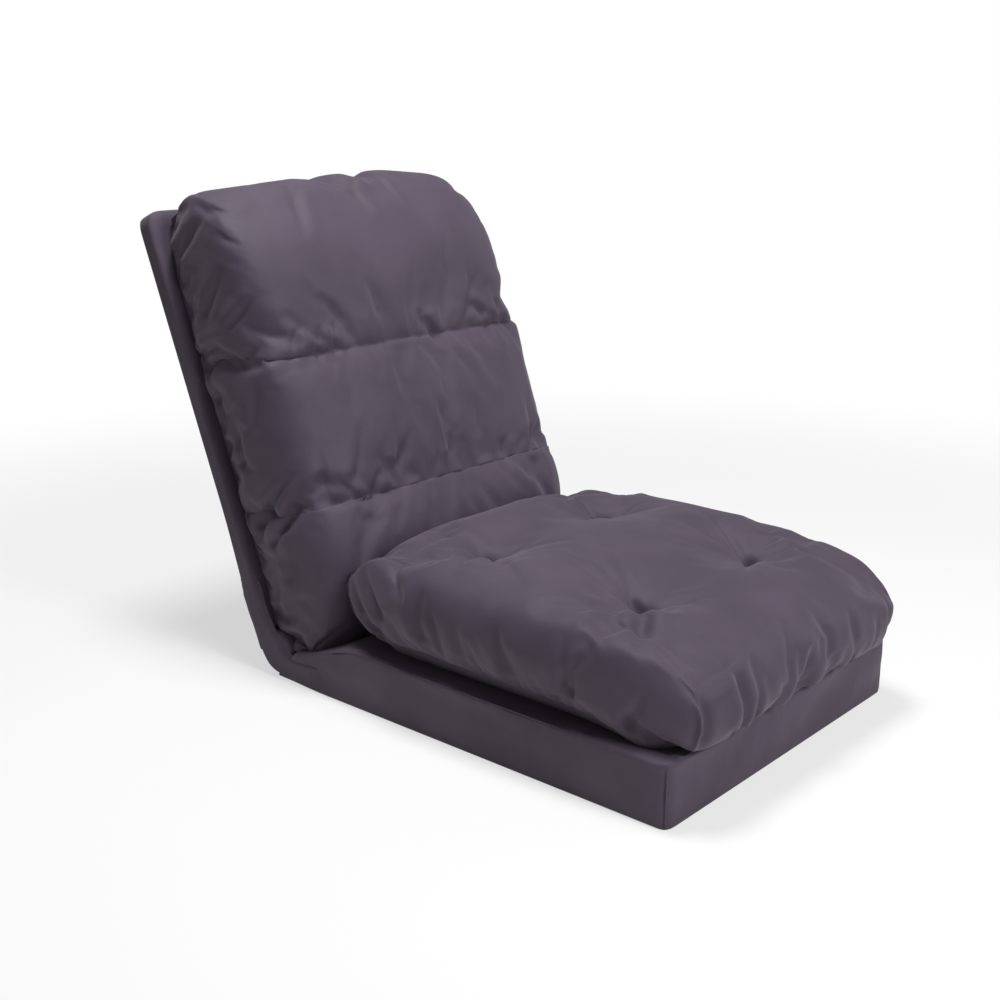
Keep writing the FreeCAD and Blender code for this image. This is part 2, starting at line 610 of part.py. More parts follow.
foams = [
    ("back_foam_front", f"({tube_front} - fit)", f"({panel_front} + fabric_wall + fit)"),
    ("back_foam_rear", "(panel_rear - fabric_wall - fit)", f"({tube_rear} + fit)"),
]
for name, rear, front in foams:
    body = upright(name, cropped(f"-{panel_inner_x}", panel_inner_x, panel_low, panel_inner_top,
                                 "panel_corner", ["high"]), rear, front)
    panel_slots(body, name, rear, front)
    with_back(body)

panel = upright("back_panel_cover", cropped(
    f"(-{panel_x})", panel_x, panel_low, "panel_length", "panel_corner", ["high"]),
    "panel_rear", panel_front)
hollow = draw(panel, "back_panel_hollow_outline", "XZ_Plane", cropped(
    f"(fabric_wall - {panel_x})", f"({panel_x} - fabric_wall)", f"({panel_low} - fabric_wall)",
    "(panel_length - fabric_wall)", "panel_corner", ["high"]), f"(-{back_tube_y})")
pocket(panel, "back_panel_hollow", hollow, "panel_wall - 2 * fabric_wall")
panel_slots(panel, "back_panel", "panel_rear", panel_front)
with_back(panel)


# Cushions: lofts across the chair, through side profiles of lines and arcs
def swell(share, end, power):
    """A cushion's fullness at a share of its half width: 1 in the middle, end at its sides."""
    return end + (1 - end) * math.sqrt(1 - abs(share) ** power)


def side_profile(x, corners):
    """A closed wire at one X. corners are (y, z, bow): the rise of the side after the corner, as a
    share of that side's length.
    """
    edges = []
    for (y, z, bow), (next_y, next_z, _) in zip(corners, corners[1:] + corners[:1]):
        start, finish = FreeCAD.Vector(x, y, z), FreeCAD.Vector(x, next_y, next_z)
        if not bow:
            edges.append(Part.LineSegment(start, finish).toShape())
            continue
        rise = FreeCAD.Vector(1, 0, 0).cross(finish - start) * bow
        edges.append(Part.Arc(start, (start + finish) * 0.5 + rise, finish).toShape())
    return Part.Wire(edges)


side_shares = [0, 0.25, 0.48, 0.7, 0.85, 0.95, 1]
side_shares = [-share for share in side_shares[:0:-1]] + side_shares


def cushion(half_width, profile, inset):
    """A loft whose profile(share, inset) gives the corners at each share of the half width."""
    reach = half_width - inset
    wires = [side_profile(share * reach, profile(share, inset)) for share in side_shares]
    return Part.makeLoft(wires, True, False)


def feature(name, shape):
    made = doc.addObject("Part::Feature", name)
    made.Shape = shape
    return made


wall = value("fabric_wall")
fit = value("fit")

# Back cushion, upright over the hinge axis, with three channels between two seams
cushion_back = -value(panel_front) + fit
crown = value("back_crown")
seam_sink = value("seam_sink")
low_seam = value("lower_seam")
high_seam = value("upper_seam")
back_top = value("panel_length + back_rise")
panel_shoulder = value("panel_length - panel_corner")
tuck = value("roll_radius + cushion_tuck")
chin_height = value("chin_height")
side_fullness = 0.62
side_shortening = 0.03
side_power = 10
chin_share = 0.79
seam_share = 1 - seam_sink / crown
# Corners from the lower edge at the panel up and over, the last one excepted: share of the crown in
# front of the panel, height above the hinge axis, bow of the side that follows, and 1 or -1 where
# the inner layers lie above or below the corner
back_corners = [
    (0.28, 0, 0, 1),
    (0.57, -0.02 * crown, 0.17, 1),
    (chin_share, chin_height, 0.1, 0),
    (seam_share, low_seam, 0.04, 0),
    (seam_share, high_seam, 0.06, 0),
    (0.86, back_top - 0.5 * crown, 0.1, 0),
    (0.5, back_top - 0.04 * crown, 0.11, -1),
    (0.1, back_top - 0.065 * crown, 0.1, -1),
]


def back_profile(share, inset):
    fullness = swell(share, side_fullness, side_power)
    shrink = 1 - side_shortening * (1 - fullness) / (1 - side_fullness)
    waist = (low_seam + high_seam) / 2
    rear = -(cushion_back + inset)
    corners = [(rear, tuck + inset, 0)]
    for out, height, bow, way in back_corners:
        depth = cushion_back + crown * out * fullness - inset
        corners.append((-depth, waist + (height - waist) * shrink + way * inset, bow))
    return corners + [(rear, panel_shoulder - inset, 0)]


cushion_half = value(cushion_x)
back_outer = cushion(cushion_half, back_profile, 0)
back_hollow = cushion(cushion_half, back_profile, wall)
back_stuffing = cushion(cushion_half, back_profile, wall + fit)
slot_depth = value("pawl_pin_orbit + pawl_boss + pin_head_radius") + value(panel_front) + cushion_back
arm_top = value("arm_tube_start")


def arm_slots(margin):
    """Room in the cushion's lower rear edge for the two hinge arms, with a margin round it."""
    span = value(slot_outer) - value(slot_inner) + 2 * margin
    corners = [FreeCAD.Vector(x - margin, -slot_depth - margin, -arm_top)
               for x in (value(slot_inner), -value(slot_outer))]
    return [Part.makeBox(span, slot_depth + margin, 2 * arm_top + margin, corner) for corner in corners]


back_lining = back_hollow.cut(arm_slots(wall))
with_back(feature("back_cushion_cover", back_outer.cut(back_lining).cut(arm_slots(0))))
far = 2 * back_top
channels = [
    ("back_fill_bottom", -far, low_seam - fit),
    ("back_fill_middle", low_seam + fit, high_seam - fit),
    ("back_fill_top", high_seam + fit, far),
]
for name, low, high in channels:
    band = Part.makeBox(2 * far, 2 * far, high - low, FreeCAD.Vector(-far, -far, low))
    fill = back_stuffing.common(band)
    if name == "back_fill_bottom":
        fill = fill.cut(arm_slots(wall + fit))
    with_back(feature(name, fill))

# Seat cushion, drawn with its underside on the level of the sewn tape and its front at the slab's front
seat_crown = value("seat_crown")
lean = math.radians(value("lean"))
chin = (cushion_back + crown * chin_share) * math.cos(lean) - chin_height * math.sin(lean)
seat_length = value(f"{hinge_y} - {front_y} - seat_gap") - chin
row_sink = value("seat_row_sink")
tuft_sink = value("tuft_sink")
side_lift = value("seat_side_lift")
front_row = value("front_tufts")
rear_row = value("rear_tufts")
tuft_spread = value("tuft_spread")
tuft_pull = value("tuft_pull")
seat_fullness = 0.58
seat_power = 7
front_share = 0.62
edge_share = 0.42
arch_share = 0.8
heel_rise = 0.08
# Corners of the top and the rear's underside: a share of the length, a share of the height, and the
# bow of the side after it
toe = (0.07, 0.83, 0.07)
heel = (0.9, 0.88, 0.15)
sole = (0.95, 0.9)


def seat_profile(share, inset):
    fullness = swell(share, seat_fullness, seat_power)
    lift = side_lift * (1 - fullness) / (1 - seat_fullness)
    full = seat_crown * fullness
    near_tuft = max(0, 1 - abs(abs(share) * cushion_half - tuft_spread) / tuft_pull)
    row = (seat_crown - row_sink) * fullness - tuft_sink * math.sin(near_tuft * math.pi / 2)
    arch = (full - row) * arch_share / (rear_row - front_row)
    floor = lift + inset
    front = fit + inset
    return [
        (front, floor, 0),
        (front, lift + (full - lift) * front_share, 0.08),
        (seat_length * toe[0], full * toe[1] - inset, toe[2]),
        (front_row, row - inset, arch),
        (rear_row, row - inset, toe[2]),
        (seat_length * heel[0], full * heel[1] - inset, heel[2]),
        (seat_length - inset, lift + (full - lift) * edge_share, heel[2]),
        (seat_length * sole[0], floor + heel_rise * full, 0),
        (seat_length * sole[1], floor, 0),
    ]


tuft_places = [(x, y) for x in (-tuft_spread, tuft_spread) for y in (front_row, rear_row)]


def tuft_threads(radius, low, high):
    return [Part.makeCylinder(radius, high - low, FreeCAD.Vector(x, y, low)) for x, y in tuft_places]


seat_outer = cushion(cushion_half, seat_profile, 0)
seat_hollow = cushion(cushion_half, seat_profile, wall)
seat_stuffing = cushion(cushion_half, seat_profile, wall + fit)
thread = value("thread_radius")
thread_holes = tuft_threads(thread + fit, -wall, seat_crown + wall)
tuft_top = seat_crown - row_sink - tuft_sink - fit


def on_base(thing):
    return place(thing, "0", front_y, seat_floor)


on_base(feature("seat_cushion_cover", seat_outer.cut(seat_hollow).cut(thread_holes)))
on_base(feature("seat_cushion_fill", seat_stuffing.cut(thread_holes)))
on_base(feature("seat_tuft_threads", Part.makeCompound(tuft_threads(thread, fit, tuft_top))))

# Names, checks and files
doc.recompute()
for thing in doc.Objects:
    if {"Invalid", "Error"} & set(thing.State):
        raise RuntimeError(f"{thing.Name} failed: {thing.State}")
pieces = [thing for thing in doc.Objects if thing.TypeId in ("PartDesign::Body", "Part::Feature")]
for piece in pieces:
    piece.Label = piece.Name
    if piece.Shape.isNull() or not piece.Shape.isValid() or not piece.Shape.Solids:
        raise RuntimeError(f"{piece.Label} has no valid solid")
for piece in pieces:
    piece.Shape.exportStep(f"parts/{piece.Label}.step")
    print(piece.Label, len(piece.Shape.Solids), "solids", round(piece.Shape.Volume / 1000, 2), "cm3")
print(len(pieces), "pieces")
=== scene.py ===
# Folding floor chair: the looks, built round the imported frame. Metres throughout.
import json
import math

import bmesh
import bpy
import numpy as np
from mathutils import Matrix, Vector, noise
from mathutils.geometry import interpolate_bezier


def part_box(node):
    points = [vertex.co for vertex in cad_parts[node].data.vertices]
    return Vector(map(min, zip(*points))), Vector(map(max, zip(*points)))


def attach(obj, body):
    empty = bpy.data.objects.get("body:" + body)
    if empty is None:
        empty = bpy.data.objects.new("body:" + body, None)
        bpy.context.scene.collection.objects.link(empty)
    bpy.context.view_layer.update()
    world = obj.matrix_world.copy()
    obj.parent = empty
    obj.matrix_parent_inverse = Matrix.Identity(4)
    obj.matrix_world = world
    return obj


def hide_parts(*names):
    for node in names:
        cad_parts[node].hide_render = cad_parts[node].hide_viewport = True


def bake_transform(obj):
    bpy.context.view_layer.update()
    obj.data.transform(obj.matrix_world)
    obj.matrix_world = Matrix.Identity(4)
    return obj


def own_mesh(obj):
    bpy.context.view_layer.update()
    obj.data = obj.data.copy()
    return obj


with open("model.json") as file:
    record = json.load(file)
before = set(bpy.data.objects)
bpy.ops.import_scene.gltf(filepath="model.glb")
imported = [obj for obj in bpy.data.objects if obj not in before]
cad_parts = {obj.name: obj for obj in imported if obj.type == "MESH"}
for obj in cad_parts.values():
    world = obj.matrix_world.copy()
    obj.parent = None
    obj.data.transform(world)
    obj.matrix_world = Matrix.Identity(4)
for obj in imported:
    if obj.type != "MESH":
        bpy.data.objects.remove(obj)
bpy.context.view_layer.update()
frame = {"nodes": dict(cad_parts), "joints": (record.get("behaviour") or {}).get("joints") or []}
print("stage: frame loaded")


def jointPlace(name):
    return Vector(next(joint["pos_m"] for joint in frame["joints"] if joint["name"] == name))


# The back's hinge and the seat cushion's sewn edge, and the ways up the back and out towards the sitter
hinge = jointPlace("back_recline")
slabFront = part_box("base_cover")[0].y
backLean = math.radians(21.9)
backUp = Vector((0, math.sin(backLean), math.cos(backLean)))
backOut = Vector((0, -math.cos(backLean), math.sin(backLean)))


def onBack(x, up, out):
    return Vector((x, 0, 0)) + hinge + up * backUp + out * backOut


def clampShare(share):
    return max(0.0, min(1.0, share))


def easeIn(low, high, number):
    share = clampShare((number - low) / (high - low))
    return share * share * (3 - 2 * share)


def hump(distance, width):
    return math.exp(-(distance / width) ** 2)


# A block of quads with its own count of rows along each axis, from -1 to 1
def gridBlock(rows):
    mesh = bmesh.new()
    bmesh.ops.create_cube(mesh, size=2)
    for axis, count in enumerate(rows):
        along = [edge for edge in mesh.edges
                 if abs(edge.verts[0].co[axis] - edge.verts[1].co[axis]) > 1]
        bmesh.ops.subdivide_edges(mesh, edges=along, cuts=count - 1, use_grid_fill=True)
    return mesh


# One span of a smooth line, from here to after, with the points on both sides of it
def smoothSpan(before, here, after, last, steps):
    leaving, arriving = here + (after - before) / 6, after - (last - here) / 6
    return interpolate_bezier(here, leaving, arriving, after, steps)[:-1]


# A smooth closed line through the points, cut at four of them into the sides of a section
def sectionSides(points, corners, steps=12):
    count = len(points)
    sides = []
    for start, end in zip(corners, corners[1:] + [corners[0] + count]):
        line = []
        for index in range(start, end):
            line += smoothSpan(*[Vector(points[(index + step) % count]) for step in (-1, 0, 1, 2)], steps)
        sides.append(line + [Vector(points[end % count])])
    return sides


# The point at each share of a line's length
def pointsAt(line, shares):
    lengths = [0.0]
    for here, after in zip(line, line[1:]):
        lengths.append(lengths[-1] + (after - here).length)
    found = []
    index = 0
    for share in shares:
        goal = share * lengths[-1]
        while index < len(line) - 2 and lengths[index + 1] < goal:
            index += 1
        part = (goal - lengths[index]) / (lengths[index + 1] - lengths[index])
        found.append(line[index].lerp(line[index + 1], part))
    return found


# Even shares, moved so that one row lies on each seam and one lies close on either side of it
def seamRows(count, seams, spread, reach=7):
    shares = [row / count for row in range(count + 1)]
    marks = []
    for seam in seams:
        middle = round(seam * count)
        marks.append(middle)
        shift = seam - shares[middle]
        for row in range(max(1, middle - reach + 1), min(count, middle + reach)):
            shares[row] += shift * (1 - abs(row - middle) / reach)
        shares[middle - 1] = seam - spread
        shares[middle + 1] = seam + spread
    return shares, marks


# A padded block: a section swept across, with its ends drawn in and rounded. squareness gives how much
# of that rounding the section's low, high and inner sides take, and drawIn how much its first direction does
def paddedBlock(look):
    low, outer, high, inner = sectionSides(look["section"], look["corners"])
    inner.reverse()
    high.reverse()
    rowsAcross, rowsUp, rowsDeep = look["rows"]
    upShares, marks = seamRows(rowsUp, look["seams"], look["seamSpread"])
    deepShares = [row / rowsDeep for row in range(rowsDeep + 1)]
    outerPoints, innerPoints = pointsAt(outer, upShares), pointsAt(inner, upShares)
    lowPoints, highPoints = pointsAt(low, deepShares), pointsAt(high, deepShares)
    lowCut, highCut, innerCut = look["squareness"]
    roundness, endSwell, centre = look["roundness"], look["endSwell"], Vector(look["centre"])
    mesh = gridBlock(look["rows"])
    places = {}
    for vert in mesh.verts:
        across, level, deep = vert.co
        row = round((level + 1) / 2 * rowsUp)
        layer = round((deep + 1) / 2 * rowsDeep)
        up, out = upShares[row], deepShares[layer]
        spot = (innerPoints[row] * (1 - out) + outerPoints[row] * out
                + lowPoints[layer] * (1 - up) + highPoints[layer] * up
                - (innerPoints[0] * (1 - up) * (1 - out) + innerPoints[-1] * up * (1 - out)
                   + outerPoints[0] * (1 - up) * out + outerPoints[-1] * up * out))
        reach = max(-level * lowCut, level * highCut, -deep * innerCut, deep)
        keep = 1 / (abs(across) ** roundness + reach ** roundness) ** (1 / roundness)
        bulge = endSwell * (1 - level * level) * (1 - deep * deep) if abs(across) > 0.999 else 0
        x = math.copysign(abs(across) * keep * (look["halfWidth"] - endSwell) + bulge, across)
        offset = spot - centre
        offset.x *= 1 - (1 - keep) * look["drawIn"]
        offset.y *= keep
        places[vert] = (x, centre + offset, row, layer)
    return mesh, places, marks


# Each point's value, evened out over its neighbours
def evenedOut(data, values, rounds):
    ends = np.array([edge.vertices[:] for edge in data.edges])
    pairs = np.concatenate((ends, ends[:, ::-1]))
    order = np.argsort(pairs[:, 0], kind="stable")
    pairs = pairs[order]
    starts = np.searchsorted(pairs[:, 0], np.arange(len(values)))
    counts = np.bincount(pairs[:, 0], minlength=len(values))[:, None]
    for step in range(rounds):
        values = 0.5 * values + 0.5 * np.add.reduceat(values[pairs[:, 1]], starts) / counts
    return values


# How the cushions' cloth settles: it is larger than its form by the growth, and the filling presses on it
clothLook = {
    "frames": 20,
    "quality": 5,
    "mass": 0.3,
    "stretch": 15,
    "shear": 5,
    "bending": 0.05,
    "pressure": 4,
    "growth": 0.10,
    "broadRounds": 45,
    "broadShare": 0.1,
}


# Swells a cloth between the points that are held, and keeps its folds on the form that it started from.
# foldAt gives the share of the folds that a point keeps; reach is as far as any may move
def swellCloth(piece, held, foldAt, reach):
    start = np.array([vert.co for vert in piece.data.vertices])
    sewn = piece.vertex_groups.new(name="sewn")
    for index, weight in held.items():
        sewn.add([index], weight, "REPLACE")
    cloth = piece.modifiers.new("Swell", "CLOTH")
    cloth.settings.quality = clothLook["quality"]
    cloth.settings.mass = clothLook["mass"]
    cloth.settings.tension_stiffness = clothLook["stretch"]
    cloth.settings.compression_stiffness = clothLook["stretch"]
    cloth.settings.shear_stiffness = clothLook["shear"]
    cloth.settings.bending_stiffness = clothLook["bending"]
    cloth.settings.use_pressure = True
    cloth.settings.uniform_pressure_force = clothLook["pressure"]
    cloth.settings.shrink_min = -clothLook["growth"]
    cloth.settings.vertex_group_mass = "sewn"
    cloth.settings.effector_weights.gravity = 0
    cloth.collision_settings.use_collision = False
    cloth.point_cache.frame_start = 1
    cloth.point_cache.frame_end = clothLook["frames"]
    for number in range(1, clothLook["frames"] + 1):
        bpy.context.scene.frame_set(number)
    swollen = piece.evaluated_get(bpy.context.evaluated_depsgraph_get()).to_mesh()
    moves = np.array([vert.co for vert in swollen.vertices]) - start
    piece.modifiers.remove(cloth)
    bpy.context.scene.frame_set(1)
    broad = evenedOut(piece.data, moves, clothLook["broadRounds"])
    shares = np.array([foldAt(Vector(place)) for place in start])[:, None]
    moves = clothLook["broadShare"] * broad + shares * (moves - broad)
    lengths = np.maximum(np.linalg.norm(moves, axis=1, keepdims=True), 1e-9)
    moves *= np.minimum(1, reach / lengths)
    piece.data.vertices.foreach_set("co", (start + moves).ravel())
    piece.data.update()


# How a pressed fold wavers and fades out, and the ridge beside it
foldLook = {
    "waver": 0.15,
    "waves": 5,
    "fade": 0.8,
    "facingFrom": 0.15,
    "facingOver": 0.35,
    "ridgeHeight": 0.55,
    "ridgeAside": 2.3,
    "ridgeWidth": 1.6,
}


# Presses folds into a cloth. Each gives the way it faces, its two ends, its depth and its width, and
# runs out towards its second end; a ridge stands beside it
def pressFolds(piece, folds):
    look = foldLook
    data = piece.data
    places = np.array([vert.co for vert in data.vertices])
    normals = np.array([vert.normal for vert in data.vertices])
    moves = np.zeros(len(places))
    for facing, start, end, depth, width in folds:
        facing = np.array(facing)
        line = np.array(end) - np.array(start)
        line = line - facing * line.dot(facing)
        length = np.linalg.norm(line)
        beside = np.cross(facing, line / length)
        flat = places - np.array(start)
        flat = flat - np.outer(flat @ facing, facing)
        along = flat @ line / length ** 2
        across = flat @ beside + look["waver"] * width * np.sin(along * look["waves"])
        past = np.maximum(0, np.maximum(-along, along - 1)) * length
        share = np.exp(-(past / width) ** 2) * (1 - look["fade"] * np.clip(along, 0, 1) ** 2)
        share *= np.clip((normals @ facing - look["facingFrom"]) / look["facingOver"], 0, 1)
        aside = (across - look["ridgeAside"] * width) / (look["ridgeWidth"] * width)
        press = np.exp(-(across / width) ** 2) - look["ridgeHeight"] * np.exp(-aside ** 2)
        moves -= depth * share * press
    data.vertices.foreach_set("co", (places + normals * moves[:, None]).ravel())
    data.update()


def newPiece(name, mesh, material):
    bmesh.ops.recalc_face_normals(mesh, faces=mesh.faces)
    data = bpy.data.meshes.new(name)
    mesh.to_mesh(data)
    mesh.free()
    data.polygons.foreach_set("use_smooth", [True] * len(data.polygons))
    data.materials.append(material)
    piece = bpy.data.objects.new(name, data)
    bpy.context.scene.collection.objects.link(piece)
    return piece


def subdivideOnce(piece):
    finer = piece.modifiers.new("Finer", "SUBSURF")
    finer.levels = 1
    finer.render_levels = 1
    bpy.context.view_layer.objects.active = piece
    bpy.ops.object.modifier_apply(modifier=finer.name)


# The cover's cloth: a plain tone with a short nap and soft creases
coverLook = {
    "colour": (0.066, 0.048, 0.075),
    "darker": (0.053, 0.038, 0.061),
    "roughness": 0.66,
    "specular": 0.35,
    "sheen": 0.16,
    "sheenRoughness": 0.45,
    "sheenTint": (0.85, 0.8, 0.9),
    "toneScale": 9,
    "toneFrom": 0.35,
    "toneTo": 0.65,
    "napScale": 900,
    "napStrength": 0.5,
    "napDepth": 0.0002,
    "napShare": 0.25,
    "creaseScale": 22,
    "creaseStrength": 0.35,
    "creaseDepth": 0.004,
}


def nodeMaterial(name):
    material = bpy.data.materials.new(name)
    material.use_nodes = True
    nodes = material.node_tree.nodes
    links = material.node_tree.links
    return material, nodes, links, nodes["Principled BSDF"]


def noiseNode(nodes, links, place, scale, detail, roughness=0.5):
    made = nodes.new("ShaderNodeTexNoise")
    made.inputs["Scale"].default_value = scale
    made.inputs["Detail"].default_value = detail
    made.inputs["Roughness"].default_value = roughness
    links.new(place.outputs["Object"], made.inputs["Vector"])
    return made


def bumpNode(nodes, links, height, strength, distance, under=None):
    made = nodes.new("ShaderNodeBump")
    made.inputs["Strength"].default_value = strength
    made.inputs["Distance"].default_value = distance
    links.new(height, made.inputs["Height"])
    if under:
        links.new(under.outputs["Normal"], made.inputs["Normal"])
    return made


# A ramp between two tones over a value
def toneNode(nodes, links, value, low, high, start=0.0, end=1.0):
    made = nodes.new("ShaderNodeValToRGB")
    made.color_ramp.elements[0].position = start
    made.color_ramp.elements[0].color = (*low, 1)
    made.color_ramp.elements[1].position = end
    made.color_ramp.elements[1].color = (*high, 1)
    links.new(value, made.inputs["Fac"])
    return made


def clothMaterial(name, look):
    material, nodes, links, shader = nodeMaterial(name)
    place = nodes.new("ShaderNodeTexCoord")
    broad = noiseNode(nodes, links, place, look["toneScale"], 3)
    nap = noiseNode(nodes, links, place, look["napScale"], 2, 0.7)
    crease = noiseNode(nodes, links, place, look["creaseScale"], 3, 0.55)
    tone = toneNode(nodes, links, broad.outputs["Fac"], look["darker"], look["colour"],
                    look["toneFrom"], look["toneTo"])
    flecks = nodes.new("ShaderNodeMix")
    flecks.data_type = "RGBA"
    flecks.blend_type = "OVERLAY"
    flecks.inputs["Factor"].default_value = look["napShare"]
    links.new(tone.outputs["Color"], flecks.inputs["A"])
    links.new(nap.outputs["Fac"], flecks.inputs["B"])
    links.new(flecks.outputs["Result"], shader.inputs["Base Color"])
    soft = bumpNode(nodes, links, crease.outputs["Fac"], look["creaseStrength"], look["creaseDepth"])
    fine = bumpNode(nodes, links, nap.outputs["Fac"], look["napStrength"], look["napDepth"], soft)
    links.new(fine.outputs["Normal"], shader.inputs["Normal"])
    shader.inputs["Roughness"].default_value = look["roughness"]
    shader.inputs["Sheen Weight"].default_value = look["sheen"]
    shader.inputs["Sheen Roughness"].default_value = look["sheenRoughness"]
    shader.inputs["Sheen Tint"].default_value = (*look["sheenTint"], 1)
    shader.inputs["Specular IOR Level"].default_value = look["specular"]
    return material


# Steel, nylon and foam. grain is how many grains a metre has, and depth how deep they are
plainLook = {
    "frameSteel": {"colour": (0.022, 0.022, 0.024), "metallic": 0, "roughness": 0.38,
                   "grain": 260, "depth": 0.0002},
    "hingeSteel": {"colour": (0.52, 0.52, 0.50), "metallic": 1, "roughness": 0.34,
                   "grain": 420, "depth": 0.0001},
    "springSteel": {"colour": (0.34, 0.34, 0.35), "metallic": 1, "roughness": 0.28,
                    "grain": 500, "depth": 0.0001},
    "nylon": {"colour": (0.72, 0.71, 0.66), "metallic": 0, "roughness": 0.45,
              "grain": 300, "depth": 0.0001},
    "foam": {"colour": (0.70, 0.66, 0.50), "metallic": 0, "roughness": 0.95,
             "grain": 480, "depth": 0.0012},
}
wearLook = {"toneScale": 14, "darker": 0.85, "roughnessChange": 0.15, "bumpStrength": 0.4}


def plainMaterial(name):
    look, wear = plainLook[name], wearLook
    material, nodes, links, shader = nodeMaterial(name)
    place = nodes.new("ShaderNodeTexCoord")
    grain = noiseNode(nodes, links, place, look["grain"], 3, 0.6)
    broad = noiseNode(nodes, links, place, wear["toneScale"], 3)
    darker = [wear["darker"] * part for part in look["colour"]]
    tone = toneNode(nodes, links, broad.outputs["Fac"], darker, look["colour"])
    links.new(tone.outputs["Color"], shader.inputs["Base Color"])
    worn = nodes.new("ShaderNodeMapRange")
    worn.inputs["To Min"].default_value = look["roughness"] * (1 - wear["roughnessChange"])
    worn.inputs["To Max"].default_value = look["roughness"] * (1 + wear["roughnessChange"])
    links.new(grain.outputs["Fac"], worn.inputs["Value"])
    links.new(worn.outputs["Result"], shader.inputs["Roughness"])
    bump = bumpNode(nodes, links, grain.outputs["Fac"], wear["bumpStrength"], look["depth"])
    links.new(bump.outputs["Normal"], shader.inputs["Normal"])
    shader.inputs["Metallic"].default_value = look["metallic"]
    return material


# Woven tape and dotted non-slip cloth: a base tone with lighter threads or dots
patternLook = {
    "tapeCloth": {"colour": (0.070, 0.056, 0.080), "lighter": (0.085, 0.068, 0.095),
                  "spacing": 0.006, "dotted": False},
    "gripCloth": {"colour": (0.0045, 0.0045, 0.005), "lighter": (0.012, 0.012, 0.013),
                  "spacing": 0.006, "dotted": True},
}


def patternMaterial(name):
    look = patternLook[name]
    material, nodes, links, shader = nodeMaterial(name)
    place = nodes.new("ShaderNodeTexCoord")
    if look["dotted"]:
        pattern = nodes.new("ShaderNodeTexVoronoi")
        pattern.inputs["Randomness"].default_value = 0
        height = pattern.outputs["Distance"]
    else:
        pattern = nodes.new("ShaderNodeTexWave")
        height = pattern.outputs["Fac"]
    pattern.inputs["Scale"].default_value = 1 / look["spacing"]
    links.new(place.outputs["Object"], pattern.inputs["Vector"])
    tone = toneNode(nodes, links, height, look["lighter"], look["colour"], 0.2, 0.3)
    links.new(tone.outputs["Color"], shader.inputs["Base Color"])
    bump = bumpNode(nodes, links, height, 0.4, 0.0004)
    links.new(bump.outputs["Normal"], shader.inputs["Normal"])
    shader.inputs["Roughness"].default_value = 0.8
    return material


coverCloth = clothMaterial("coverCloth", coverLook)
tapeCloth = patternMaterial("tapeCloth")
gripCloth = patternMaterial("gripCloth")
nodeMaterials = {
    "frameSteel": ["base_frame_tube", "base_middle_cross_tube", "base_rear_cross_tube", "back_frame_tube",
                   "back_lower_cross_tube", "back_upper_cross_tube"],
    "hingeSteel": [part + side for side in ("_left", "_right")
                   for part in ("hinge_plate", "hinge_pin", "hinge_arm", "pawl", "pawl_pin")],
    "springSteel": ["pawl_spring_left", "pawl_spring_right"],
    "nylon": ["hinge_washer_left", "hinge_washer_right"],
    "foam": ["base_core_front", "base_core_rear", "back_core_lower", "back_core_upper"],
}
print("stage: materials")

